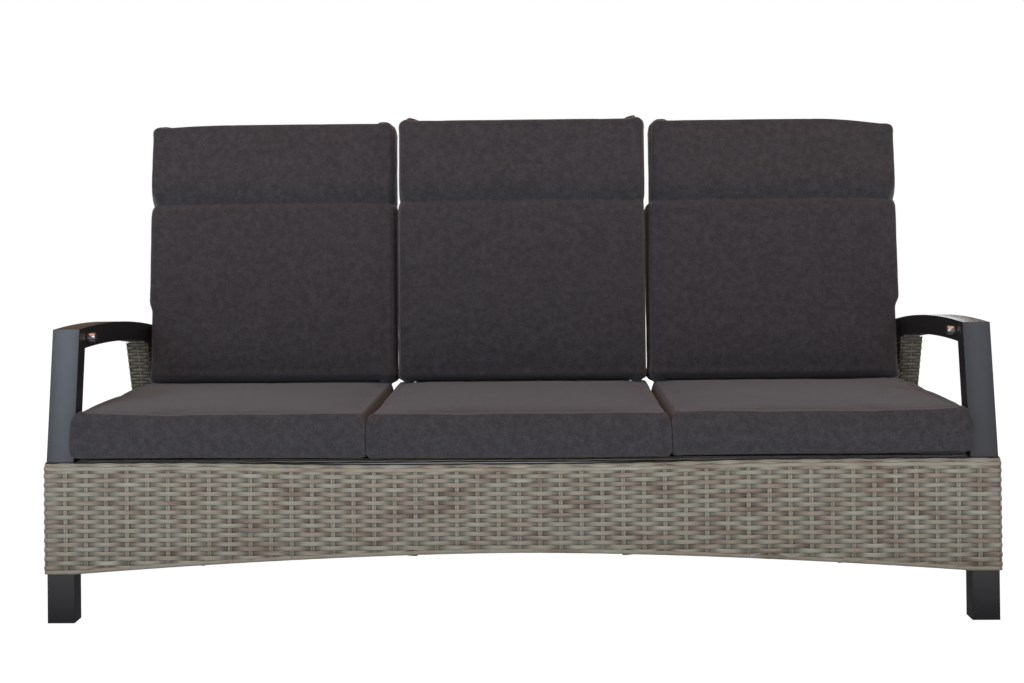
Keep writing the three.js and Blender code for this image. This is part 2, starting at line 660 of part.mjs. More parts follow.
// The tab behind a fixed upright, which keeps the back from turning on its bolt
function backStop(outward, lean) {
  const face = BACK_TUBE / 2 + FIT_GAP;
  const tab = block(
    [outward * (UPRIGHT_CENTRE - BACK_TUBE / 2), outward * BRACKET_OUTER],
    [face, face + BRACKET_FLANGE_THICKNESS],
    [-UPRIGHT_FOOT, BRACKET_EYE_RADIUS],
  );
  return tab.rotateX(-lean).translate(0, HINGE_SETBACK, HINGE_HEIGHT);
}

function headedShaft(from, to) {
  return turnedAlongX([
    [0, from - SHAFT_HEAD_LENGTH],
    [SHAFT_HEAD_RADIUS, from - SHAFT_HEAD_LENGTH],
    [SHAFT_HEAD_RADIUS, from],
    [SHAFT_RADIUS, from],
    [SHAFT_RADIUS, to],
    [SHAFT_HEAD_RADIUS, to],
    [SHAFT_HEAD_RADIUS, to + SHAFT_HEAD_LENGTH],
    [0, to + SHAFT_HEAD_LENGTH],
  ]);
}

// Gas springs, drawn along Y from the base pin
const LEVER_TIP = [
  HINGE_SETBACK + LEVER_LENGTH * Math.sin(LEVER_REST_ANGLE),
  HINGE_HEIGHT - LEVER_LENGTH * Math.cos(LEVER_REST_ANGLE),
];
const SPRING_RUN = Math.hypot(LEVER_TIP[0] - SPRING_BASE_SETBACK, LEVER_TIP[1] - SPRING_BASE_HEIGHT);
const SPRING_PITCH = Math.atan2(LEVER_TIP[1] - SPRING_BASE_HEIGHT, LEVER_TIP[0] - SPRING_BASE_SETBACK);

function springCylinder() {
  const end = CYLINDER_START + CYLINDER_LENGTH;
  const bore = CYLINDER_RADIUS - CYLINDER_WALL;
  const shell = turnedAlongY([
    [0, CYLINDER_START],
    [CYLINDER_RADIUS, CYLINDER_START],
    [CYLINDER_RADIUS, end],
    [ROD_RADIUS + FIT_GAP, end],
    [ROD_RADIUS + FIT_GAP, end - CYLINDER_END_CAP],
    [bore, end - CYLINDER_END_CAP],
    [bore, CYLINDER_START + CYLINDER_END_CAP],
    [0, CYLINDER_START + CYLINDER_END_CAP],
  ]);
  const half = EYE_THICKNESS / 2;
  const eyeRadius = CLEVIS_REACH - EYE_SIDE_GAP;
  const neck = eyeRadius * Math.SQRT1_2;
  return cut(
    joined(
      shell,
      rodAlongX(eyeRadius, [-half, half]),
      block([-half, half], [0, CYLINDER_START + CYLINDER_WALL], [-neck, neck]),
    ),
    rodAlongX(SPRING_PIN_RADIUS + FIT_GAP, [-CUT_OVERRUN, CUT_OVERRUN]),
  );
}

function springRod() {
  const piston = CYLINDER_START + CYLINDER_LENGTH - CYLINDER_END_CAP - PISTON_LENGTH - EYE_SIDE_GAP;
  const eyeStart = SPRING_RUN - EYE_RADIUS + LEVER_PIN_RADIUS / 2;
  const shank = turnedAlongY([
    [0, piston],
    [PISTON_RADIUS, piston],
    [PISTON_RADIUS, piston + PISTON_LENGTH],
    [ROD_RADIUS, piston + PISTON_LENGTH],
    [ROD_RADIUS, eyeStart],
    [0, eyeStart],
  ]);
  const half = EYE_THICKNESS / 2;
  return cut(
    joined(shank, rodAlongX(EYE_RADIUS, [-half, half], [SPRING_RUN, 0])),
    rodAlongX(LEVER_PIN_RADIUS + EYE_PLAY, [-CUT_OVERRUN, CUT_OVERRUN], [SPRING_RUN, 0]),
  );
}

// The clevis that holds a gas spring's base pin, on a cross rail's outer face
function springBracket(side) {
  const springX = side * SPRING_OFFSET;
  const railFace = CROSS_RAIL_OFFSET + RAIL_WIDTH / 2 + FIT_GAP;
  const [low, high] = [SPRING_BASE_HEIGHT - CLEVIS_REACH, SPRING_BASE_HEIGHT + CLEVIS_REACH];
  const webRear = CLEVIS_FRONT + CLEVIS_EAR;
  const earRear = SPRING_BASE_SETBACK + CLEVIS_REACH;
  const outer = CLEVIS_INNER + CLEVIS_EAR;
  const hanger = block(
    [side * railFace, side * (railFace + CLEVIS_EAR)],
    [CLEVIS_FRONT, earRear],
    [low, RAIL_TOP],
  );
  const web = block([side * railFace, springX + side * outer], [CLEVIS_FRONT, webRear], [low, high]);
  const ears = [-1, 1].map((end) =>
    block([springX + end * CLEVIS_INNER, springX + end * outer], [CLEVIS_FRONT, earRear], [low, high]),
  );
  const pin = rodAlongX(
    SPRING_PIN_RADIUS,
    [springX - outer + FIT_GAP, springX + outer - FIT_GAP],
    [SPRING_BASE_SETBACK, SPRING_BASE_HEIGHT],
  );
  return joined(hanger, web, ...ears, pin);
}

// Release buttons, drawn along X from the arm's inner face towards the seat
function buttonCollar() {
  const bore = BUTTON_RADIUS + FIT_GAP;
  return turnedAlongX([
    [bore, -COLLAR_SLEEVE_LENGTH],
    [COLLAR_SLEEVE_RADIUS, -COLLAR_SLEEVE_LENGTH],
    [COLLAR_SLEEVE_RADIUS, FIT_GAP],
    [COLLAR_FLANGE_RADIUS, FIT_GAP],
    [COLLAR_FLANGE_RADIUS, COLLAR_FLANGE_THICKNESS],
    [bore, COLLAR_FLANGE_THICKNESS],
    [bore, -COLLAR_SLEEVE_LENGTH],
  ]);
}

function releaseButton() {
  return turnedAlongX([
    [0, -BUTTON_SHANK_LENGTH],
    [BUTTON_RADIUS, -BUTTON_SHANK_LENGTH],
    [BUTTON_RADIUS, BUTTON_PROTRUSION - BUTTON_EDGE_ROUND],
    [BUTTON_RADIUS - BUTTON_EDGE_ROUND, BUTTON_PROTRUSION],
    [0, BUTTON_PROTRUSION],
  ]);
}

// Release cables, each from its button down the post and along the rails to its gas spring's clevis
// A route through points, with one step of the extrusion for each
class Route extends THREE.Curve {
  constructor(points) {
    super();
    this.points = points;
  }

  getPointAt(share) {
    return this.points[Math.round(share * (this.points.length - 1))].clone();
  }

  getTangentAt(share, target) {
    const at = Math.round(share * (this.points.length - 1));
    const before = this.points[Math.max(at - 1, 0)];
    const after = this.points[Math.min(at + 1, this.points.length - 1)];
    return target.subVectors(after, before).normalize();
  }
}

function roundedCorner(before, corner, after) {
  const towards = (end) => corner.clone().add(end.clone().sub(corner).setLength(CABLE_BEND));
  return new THREE.QuadraticBezierCurve3(towards(before), corner, towards(after)).getPoints(CABLE_BEND_STEPS);
}

// A run that leaves its first point and reaches its last one along the given directions
function easedRun(from, leaving, to, arriving) {
  const pull = CABLE_EASE_SHARE * from.distanceTo(to);
  const controls = [from.clone().addScaledVector(leaving, pull), to.clone().addScaledVector(arriving, -pull)];
  return new THREE.CubicBezierCurve3(from, ...controls, to).getPoints(2 * CABLE_BEND_STEPS);
}

function releaseCable(side) {
  const at = (x, y, z) => new THREE.Vector3(side * x, y, z);
  const start = at(POST_INNER + BUTTON_SHANK_LENGTH + BUTTON_TRAVEL + FIT_GAP, BUTTON_SETBACK, BUTTON_HEIGHT);
  const entryHeight = BUTTON_HEIGHT - CABLE_ENTRY_RUN;
  const entry = at(POST_CENTRE, postRearAt(entryHeight) - POST_DEPTH / 2, entryHeight);
  const postBottom = at(POST_CENTRE, POST_MIDDLE, RIM_HEIGHT);
  const postExit = at(POST_CENTRE, POST_MIDDLE, CABLE_LEVEL);
  const turn = at(CROSS_RAIL_OFFSET, POST_MIDDLE, CABLE_LEVEL);
  const drop = at(CROSS_RAIL_OFFSET, CLEVIS_FRONT - CABLE_DROP_RUN, CABLE_LEVEL);
  const end = at(SPRING_OFFSET, CLEVIS_FRONT - FIT_GAP, SPRING_BASE_HEIGHT);
  const outward = X_AXIS.clone().multiplyScalar(side);
  const downPost = postBottom.clone().sub(entry).normalize();
  const points = [
    ...easedRun(start, outward, entry, downPost),
    ...roundedCorner(postBottom, postExit, turn),
    ...roundedCorner(postExit, turn, drop),
    ...easedRun(drop, Y_AXIS, end, Y_AXIS),
  ];
  const section = new THREE.Shape();
  section.absarc(0, 0, CABLE_RADIUS, 0, 2 * Math.PI);
  return new THREE.ExtrudeGeometry(section, {
    steps: points.length - 1,
    curveSegments: CABLE_SIDES / 2,
    extrudePath: new Route(points),
  });
}

// Cushions
// A padded box: X across, Y along, Z from its resting face to its crown. Its sides draw in between the corners.
function paddedBox({ width, length, edge, crown, baseRound, seam }) {
  const lines = (size, extra = []) => {
    const half = size / 2;
    const outer = CUSHION_ROUND_SHARES.map((share) => half - share * CUSHION_EDGE_ROUND);
    const inner = half - CUSHION_EDGE_ROUND;
    const middle = Array.from({ length: CUSHION_INTERIOR_LINES }, (_, i) => {
      return inner * ((2 * (i + 1)) / (CUSHION_INTERIOR_LINES + 1) - 1);
    });
    const kept = middle.filter((at) => extra.every((other) => Math.abs(at - other) > CUSHION_EDGE_ROUND));
    return [...outer.map((at) => -at), ...kept, ...extra, ...outer.slice().reverse()].sort((a, b) => a - b);
  };
  const seamLines = seam ? HEAD_SEAM_LINE_SHARES.map((share) => seam.at + share * HEAD_SEAM_HALF_WIDTH) : [];
  const [xs, ys] = [lines(width), lines(length, seamLines)];
  const fall = (at, half, round) => {
    const into = Math.min(1, (half - Math.abs(at)) / CUSHION_EDGE_ROUND);
    return round * (1 - Math.sqrt(Math.max(0, 1 - (1 - into) ** 2)));
  };
  const plan = (x, y, swell = 0) => {
    const [u, v] = [(2 * x) / width, (2 * y) / length];
    const pull = CUSHION_CORNER_PULL * (u * v) ** 6;
    const inX = CUSHION_DRAW_IN * (1 - v * v) + pull - swell;
    const inY = CUSHION_DRAW_IN * (1 - u * u) + pull - swell;
    return [x - u * inX, y - v * inY];
  };
  const topAt = (x, y) => {
    const [u, v] = [(2 * x) / width, (2 * y) / length];
    const round = Math.max(fall(x, width / 2, CUSHION_EDGE_ROUND), fall(y, length / 2, CUSHION_EDGE_ROUND));
    const swell = crown * (1 - u ** 4) * (1 - v ** 4);
    const dip = seam ? HEAD_SEAM_DEPTH * Math.max(0, 1 - Math.abs(y - seam.at) / HEAD_SEAM_HALF_WIDTH) : 0;
    return edge + swell - round - dip;
  };
  const baseAt = (x, y) => Math.max(fall(x, width / 2, baseRound), fall(y, length / 2, baseRound));
  const positions = [];
  const faces = [];
  const addPoint = (x, y, z, swell) => {
    const [px, py] = plan(x, y, swell);
    positions.push(px, py, z);
    return positions.length / 3 - 1;
  };
  const sheet = (heightAt) => ys.map((y) => xs.map((x) => addPoint(x, y, heightAt(x, y))));
  const quad = (a, b, c, d) => faces.push(a, b, c, a, c, d);
  const top = sheet(topAt);
  const base = sheet(baseAt);
  for (let j = 0; j + 1 < ys.length; j += 1) {
    for (let i = 0; i + 1 < xs.length; i += 1) {
      quad(top[j][i], top[j][i + 1], top[j + 1][i + 1], top[j + 1][i]);
      quad(base[j][i], base[j + 1][i], base[j + 1][i + 1], base[j][i + 1]);
    }
  }
  const border = (grid) => [
    ...grid[0].slice(0, -1),
    ...grid.slice(0, -1).map((row) => row.at(-1)),
    ...grid.at(-1).slice(1).reverse(),
    ...grid.slice(1).reverse().map((row) => row[0]),
  ];
  const rim = border(ys.map((y) => xs.map((x) => [x, y])));
  const [rimTop, rimBase] = [border(top), border(base)];
  const swollen = rim.map(([x, y]) => addPoint(x, y, (topAt(x, y) + baseAt(x, y)) / 2, CUSHION_SIDE_BULGE));
  rim.forEach((_, i) => {
    const next = (i + 1) % rim.length;
    quad(rimBase[i], rimBase[next], swollen[next], swollen[i]);
    quad(swollen[i], swollen[next], rimTop[next], rimTop[i]);
  });
  const geometry = new THREE.BufferGeometry();
  geometry.setAttribute("position", new THREE.Float32BufferAttribute(positions, 3));
  geometry.setIndex(faces);
  const faceted = geometry.toNonIndexed();
  faceted.computeVertexNormals();
  return faceted;
}

function seatCushion(width) {
  const length = SEAT_CUSHION_REAR + SEAT_CUSHION_OVERHANG;
  const pad = paddedBox({
    width,
    length,
    edge: SEAT_CUSHION_EDGE,
    crown: SEAT_CROWN,
    baseRound: CUSHION_BACK_ROUND,
  });
  return pad.translate(0, length / 2 - SEAT_CUSHION_OVERHANG, DECK_TOP + FIT_GAP);
}

// Laid against the back's front face, with the crown towards the sitter. It widens towards its top.
function backCushion(foot, outward) {
  const middle = BACK_CUSHION_LENGTH / 2;
  const pad = paddedBox({
    width: BACK_CUSHION_WIDTH,
    length: BACK_CUSHION_LENGTH,
    edge: BACK_CUSHION_THICKNESS,
    crown: BACK_CUSHION_CROWN,
    baseRound: CUSHION_BACK_ROUND,
    seam: { at: HEAD_SEAM_HEIGHT - middle },
  });
  pad.rotateX(Math.PI / 2);
  const points = pad.getAttribute("position");
  for (let i = 0; i < points.count; i += 1) {
    const share = points.getZ(i) / BACK_CUSHION_LENGTH + 0.5;
    const spread = 1 + (share * BACK_CUSHION_TOP_SPREAD) / BACK_CUSHION_WIDTH;
    points.setX(i, points.getX(i) * spread + outward * share * RECLINER_CUSHION_TOP_SHIFT);
  }
  pad.computeVertexNormals();
  return pad.translate(0, -BACK_THICKNESS / 2 - FIT_GAP, foot + middle);
}

// Assembly
const sofa = new THREE.Group();
const sides = { left: -1, right: 1 };

for (const [name, side] of Object.entries(sides)) {
  const x = side * POST_CENTRE;
  sofa.add(
    piece(`${name}_front_post`, frontPost(side), anthracite, x),
    piece(`${name}_armrest`, armrest(side), darkArm, x),
    piece(`${name}_rear_leg`, hollowLeg(REAR_LEG_FRONT, RAIL_TOP), anthracite, x),
    piece(`${name}_front_foot_glide`, footGlide(POST_FRONT), blackPlastic, x),
    piece(`${name}_rear_foot_glide`, footGlide(REAR_LEG_FRONT), blackPlastic, x),
    piece(`${name}_side_rail`, sideRail(), bareTube, x),
    piece(`${name}_rear_post_tube`, rearPostTube(), bareTube, x),
    piece(`${name}_rear_post_sleeve`, rearPostSleeve(), wicker, x),
    piece(`${name}_side_apron`, sideApron(side), wicker, x),
    piece(`${name}_cross_rail`, crossRail(), bareTube, side * CROSS_RAIL_OFFSET),
    piece(`${name}_spring_bracket`, springBracket(side), zincSteel),
    piece(`${name}_release_cable`, releaseCable(side), blackPlastic),
  );
  const button = new THREE.Group();
  button.position.set(side * POST_INNER, BUTTON_SETBACK, BUTTON_HEIGHT);
  button.rotation.z = side > 0 ? Math.PI : 0;
  button.add(
    piece(`${name}_button_collar`, buttonCollar(), blackPlastic),
    piece(`${name}_release_button`, releaseButton(), polishedSteel),
  );
  sofa.add(button);
}

sofa.add(
  piece("front_rail", longRail(POST_FRONT, POST_INNER - FIT_GAP), bareTube),
  piece("hinge_rail", longRail(HINGE_RAIL_SETBACK - RAIL_WIDTH, SIDE_RAIL_INNER - FIT_GAP), bareTube),
  piece("rear_rail", longRail(BASE_DEPTH - POST_FRONT - RAIL_WIDTH, POST_INNER - FIT_GAP), bareTube),
  piece("front_apron", frontApron(), wicker),
  piece("rear_apron", rearApron(), wicker),
  piece("seat_deck", seatDeck(), wicker),
);

const seats = { left: -1, centre: 0, right: 1 };

for (const [name, side] of Object.entries(seats)) {
  const reclines = side !== 0;
  const lean = reclines ? RECLINER_REST_LEAN : FIXED_BACK_LEAN;
  const cushionFoot = reclines ? RECLINER_CUSHION_FOOT : FIXED_CUSHION_FOOT;
  const x = side * BACK_SPACING;
  const back = new THREE.Group();
  back.position.set(x, HINGE_SETBACK, HINGE_HEIGHT);
  back.rotation.x = -lean;
  back.add(
    piece(`${name}_back_frame`, backFrame(lean, -side), bareTube),
    piece(`${name}_back_weave`, backWeave(lean, -side), wicker),
    piece(`${name}_back_cushion`, backCushion(cushionFoot, side), charcoalFabric),
  );
  const shaftHalf = BRACKET_OUTER + FIT_GAP;
  if (reclines) {
    back.add(piece(`${name}_hinge_shaft`, headedShaft(-shaftHalf, shaftHalf), zincSteel));
    const spring = new THREE.Group();
    spring.position.set(side * SPRING_OFFSET, SPRING_BASE_SETBACK, SPRING_BASE_HEIGHT);
    spring.rotation.x = SPRING_PITCH;
    spring.add(
      piece(`${name}_gas_spring_cylinder`, springCylinder(), blackSteel),
      piece(`${name}_gas_spring_rod`, springRod(), polishedSteel),
    );
    sofa.add(spring);
  }
  const seat = seatCushion(reclines ? OUTER_SEAT_WIDTH : CENTRE_SEAT_WIDTH);
  sofa.add(back, piece(`${name}_seat_cushion`, seat, charcoalFabric, side * OUTER_SEAT_OFFSET));
  for (const [end, outward] of Object.entries(sides)) {
    const bracket = hingeBracket(outward, reclines ? 0 : lean);
    sofa.add(piece(`${name}_back_bracket_${end}`, bracket, blackSteel, x));
    if (!reclines) {
      const inner = UPRIGHT_CENTRE - BACK_TUBE / 2 - FIT_GAP;
      const ends = outward > 0 ? [inner, shaftHalf] : [-shaftHalf, -inner];
      back.add(piece(`${name}_back_bolt_${end}`, headedShaft(...ends), zincSteel));
    }
  }
}

// The origin is under the middle of the sofa, on the ground.
sofa.updateMatrixWorld(true);
const box = new THREE.Box3().setFromObject(sofa, true);
sofa.position.y = -(box.min.y + box.max.y) / 2;

export default sofa;
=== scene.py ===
import json
import math
import random

import bmesh
import bpy
from mathutils import Matrix, Vector, noise


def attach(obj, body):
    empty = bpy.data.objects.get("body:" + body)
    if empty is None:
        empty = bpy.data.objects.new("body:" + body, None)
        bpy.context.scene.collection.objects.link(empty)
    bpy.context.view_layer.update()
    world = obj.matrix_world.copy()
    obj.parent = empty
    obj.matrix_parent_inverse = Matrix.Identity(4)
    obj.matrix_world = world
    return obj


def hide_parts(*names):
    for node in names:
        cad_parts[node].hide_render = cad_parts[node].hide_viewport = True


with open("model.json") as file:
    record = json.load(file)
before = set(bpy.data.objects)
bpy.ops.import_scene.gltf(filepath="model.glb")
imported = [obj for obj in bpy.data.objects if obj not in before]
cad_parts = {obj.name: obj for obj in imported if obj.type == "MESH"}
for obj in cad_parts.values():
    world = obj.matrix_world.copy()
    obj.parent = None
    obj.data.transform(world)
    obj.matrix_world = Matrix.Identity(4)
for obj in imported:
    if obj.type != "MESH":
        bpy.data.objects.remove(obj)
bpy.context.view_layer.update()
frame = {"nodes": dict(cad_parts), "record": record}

# --- Camera ---
# A moderately long lens about three metres in front of the sofa, a little right of its middle
# and level with the back cushions. It looks almost straight ahead, and the frame is shifted
# down to take in the feet.
CAMERA_PLACE = Vector((0.0555, -3.3752, 0.8775))
camera_data = bpy.data.cameras.new("studio_camera")
camera_data.sensor_width = 36
camera_data.lens = 48.87
camera_data.shift_y = -0.136
camera = bpy.data.objects.new("studio_camera", camera_data)
bpy.context.collection.objects.link(camera)
camera_pitch, camera_yaw, camera_roll = 0.0071, -0.0217, -0.0101
looking = Vector((
    math.sin(camera_yaw) * math.cos(camera_pitch),
    math.cos(camera_yaw) * math.cos(camera_pitch),
    math.sin(camera_pitch),
))
level_right = Vector((math.cos(camera_yaw), -math.sin(camera_yaw), 0))
level_up = level_right.cross(looking)
camera_right = level_right * math.cos(camera_roll) + level_up * math.sin(camera_roll)
camera_up = level_up * math.cos(camera_roll) - level_right * math.sin(camera_roll)
camera_turn = Matrix((camera_right, camera_up, -looking)).transposed().to_4x4()
camera.matrix_world = Matrix.Translation(CAMERA_PLACE) @ camera_turn
bpy.context.scene.camera = camera

# --- Woven skirts of the base ---
# Flat strips of synthetic rattan, woven by hand round pairs of upright stakes. Each row passes
# over one pair and under the next, and its neighbours do the opposite. The rim is finished
# with a braided border, and an edge strand follows the arch along the bottom.
RIM_HEIGHT = 0.347
SKIRT_CORNER = 0.003
FRONT_LINE, REAR_LINE, SIDE_LINE = -0.3952, 0.3897, 1.0240

# a cell reaches from one pair of stakes to the next, and an arch is half its width and its rise
LONG_CELLS, SIDE_CELLS = 46, 18
LONG_ARCH, SIDE_ARCH = (0.962, 0.042), (0.345, 0.026)
ARCH_FOOT, ARCH_POWER = 0.106, 1.7
FRONT_SAG, SAG_ENDS_AT = 0.0075, 0.2

# strands: steps in a cell, half a strip's thickness, and the rows, stakes, edge and top strip
STEPS_PER_CELL = 6
THIN = 0.0010
ROW_PITCH, ROW_HALF_WIDTH, ROW_WINDING = 0.0099, 0.0054, 0.0025
ROW_UNEVENNESS = 0.0004
FIRST_ROW_BELOW_RIM, LAST_ROW_OVER_FOOT = 0.0286, 0.01
ROW_CLEARS_EDGE = 0.0055
STAKE_HALF_WIDTH, STAKE_HALF_THICKNESS = 0.0023, 0.0015
STAKE_OVER_FOOT, STAKE_BELOW_RIM = 0.004, 0.011
EDGE_HALF_WIDTH = 0.0048
TOP_PITCH, TOP_HALF_WIDTH = 0.0096, 0.0049
TOP_BELOW_RIM, TOP_WINDING = 0.0029, 0.0007
# the lowest relief, which the rattan finish paints darkest, as shade
DEEP_RELIEF = -3

# top strips as rows, length and cells, and the gap round a sleeve, from and to, in which rows
LONG_STRIP, SIDE_STRIP = (2, 1.92, 44), (6, 0.733, 16)
ROUND_SLEEVE = (0.6055, 0.6635, 1, 4)
random.seed(11)
straight_strands = {}


def new_weave():
    """An empty mesh with the two marks that the rattan finish reads."""
    bm = bmesh.new()
    bm.verts.layers.float_vector.new("strand")
    bm.verts.layers.float.new("relief")
    return bm


def straight_strand(pieces, sides):
    """A rod of unit size, upright and in pieces, for lay_strand to bend."""
    bm = new_weave()
    bmesh.ops.create_cone(bm, cap_ends=True, segments=sides, radius1=1, radius2=1, depth=1)
    if pieces > 1:
        lengthwise = [e for e in bm.edges if abs(e.verts[0].co.z - e.verts[1].co.z) > 0.5]
        bmesh.ops.subdivide_edges(bm, edges=lengthwise, cuts=pieces - 1)
    mesh = bpy.data.meshes.new("straight_strand")
    bm.to_mesh(mesh)
    bm.free()
    return mesh


def lay_strand(bm, pieces, place, half_width, half_thickness, sides=8, relief=0.5):
    """place(share) gives the middle, the way across and the facing, at that share of the length.

    relief is how far the strand stands out of the weave, 1 for its front and -1 for its back; the
    rattan finish paints shade by it.
    It is a number, or a function of that share."""
    key = (pieces, sides)
    if key not in straight_strands:
        straight_strands[key] = straight_strand(pieces, sides)
    first = len(bm.verts)
    bm.from_mesh(straight_strands[key])
    bm.verts.ensure_lookup_table()
    strand_mark = bm.verts.layers.float_vector["strand"]
    relief_mark = bm.verts.layers.float["relief"]
    shade = random.random()
    rings, travelled, last = [], 0.0, None
    for step in range(pieces + 1):
        middle, across, facing = place(step / pieces)
        travelled += (middle - last).length if last else 0
        last = middle
        standing = relief(step / pieces) if callable(relief) else relief
        rings.append((middle, across, facing, travelled, standing))
    for vert in bm.verts[first:]:
        middle, across, facing, along, standing = rings[round((vert.co.z + 0.5) * pieces)]
        side, depth = vert.co.x * half_width, vert.co.y * half_thickness
        vert.co = middle + across * side + facing * depth
        vert[strand_mark] = (along + 3 * shade, side, shade)
        vert[relief_mark] = standing


def finished_piece(name, bm, material, body, node):
    """Makes the woven mesh a piece that stands for one CAD node."""
    bmesh.ops.recalc_face_normals(bm, faces=bm.faces)
    for face in bm.faces:
        face.smooth = True
    mesh = bpy.data.meshes.new(name)
    bm.to_mesh(mesh)
    bm.free()
    mesh.materials.append(material)
    piece = bpy.data.objects.new(name, mesh)
    bpy.context.collection.objects.link(piece)
    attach(piece, body)
    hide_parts(node)


def rattan_finish(name, tones):
    """Each strand has its own tone, with fine streaks and soft patches.

    Painted shade darkens it as it dips behind the others, by its relief mark."""
    material = bpy.data.materials.new(name)
    material.use_nodes = True
    nodes, links = material.node_tree.nodes, material.node_tree.links
    shader = nodes["Principled BSDF"]
    shader.inputs["Roughness"].default_value = 0.6
    shader.inputs["Specular IOR Level"].default_value = 0.35
    strand = nodes.new("ShaderNodeAttribute")
    strand.attribute_name = "strand"

    def noise_over(scale, detail):
        stretch = nodes.new("ShaderNodeMapping")
        stretch.inputs["Scale"].default_value = scale
        grain = nodes.new("ShaderNodeTexNoise")
        grain.inputs["Scale"].default_value = 1
        grain.inputs["Detail"].default_value = detail
        links.new(strand.outputs["Vector"], stretch.inputs["Vector"])
        links.new(stretch.outputs["Vector"], grain.inputs["Vector"])
        return grain

    patches = noise_over((9, 40, 23), 2)
    streaks = noise_over((26, 1300, 61), 3)
    tone = nodes.new("ShaderNodeValToRGB")
    tone.color_ramp.interpolation = "B_SPLINE"
    while len(tone.color_ramp.elements) < len(tones):
        tone.color_ramp.elements.new(0.5)
    for element, (at, colour) in zip(tone.color_ramp.elements, tones):
        element.position = at
        element.color = (*colour, 1)
    links.new(patches.outputs["Fac"], tone.inputs["Fac"])
    shading = nodes.new("ShaderNodeMapRange")
    shading.inputs["From Min"].default_value = 0.3
    shading.inputs["From Max"].default_value = 0.7
    shading.inputs["To Min"].default_value = 0.82
    shading.inputs["To Max"].default_value = 1.26
    links.new(streaks.outputs["Fac"], shading.inputs["Value"])
    coloured = nodes.new("ShaderNodeVectorMath")
    coloured.operation = "SCALE"
    links.new(tone.outputs["Color"], coloured.inputs[0])
    links.new(shading.outputs["Result"], coloured.inputs["Scale"])
    # painted shade: the lower a strand's relief, the darker its colour, as the shade behind its
    # neighbours
    relief = nodes.new("ShaderNodeAttribute")
    relief.attribute_name = "relief"
    standing = nodes.new("ShaderNodeMapRange")
    standing.inputs["From Min"].default_value = DEEP_RELIEF
    standing.inputs["From Max"].default_value = 1
    links.new(relief.outputs["Fac"], standing.inputs["Value"])
    depth = nodes.new("ShaderNodeValToRGB")
    while len(depth.color_ramp.elements) < 4:
        depth.color_ramp.elements.new(0.5)
    painted_shade_levels = ((0, 0.05), (0.5, 0.50), (0.75, 0.80), (1, 1))
    for element, (at, level) in zip(depth.color_ramp.elements, painted_shade_levels):
        element.position = at
        element.color = (level, level, level, 1)
    links.new(standing.outputs["Result"], depth.inputs["Fac"])
    darkened = nodes.new("ShaderNodeVectorMath")
    darkened.operation = "MULTIPLY"
    links.new(coloured.outputs["Vector"], darkened.inputs[0])
    links.new(depth.outputs["Color"], darkened.inputs[1])
    links.new(darkened.outputs["Vector"], shader.inputs["Base Color"])
    bump = nodes.new("ShaderNodeBump")
    bump.inputs["Strength"].default_value = 0.35
    bump.inputs["Distance"].default_value = 0.0006
    links.new(streaks.outputs["Fac"], bump.inputs["Height"])
    links.new(bump.outputs["Normal"], shader.inputs["Normal"])
    return material


rattan = rattan_finish("grey_rattan", [
    (0.30, (0.190, 0.149, 0.115)),
    (0.42, (0.290, 0.246, 0.191)),
    (0.50, (0.335, 0.307, 0.243)),
    (0.60, (0.283, 0.290, 0.224)),
    (0.72, (0.411, 0.390, 0.321)),
])


def skirt_line(start, end, facing):
    """The way along one side of the base, from mid corner to mid corner."""
    heading = (end - start).normalized()
    bend = math.pi * SKIRT_CORNER / 4
    length = (end - start).length - 2 * SKIRT_CORNER + 2 * bend

    def at(distance, proud=0.0):
        if bend <= distance <= length - bend:
            run = SKIRT_CORNER + distance - bend
            return start + heading * run + facing * proud, facing
        past = (bend - distance) if distance < bend else (distance - length + bend)
        way = -heading if distance < bend else heading
        corner = start if distance < bend else end
        turn = past / SKIRT_CORNER
        out = facing * math.cos(turn) + way * math.sin(turn)
        pivot = corner - (way + facing) * SKIRT_CORNER
        return pivot + out * (SKIRT_CORNER + proud), out

    return at, length


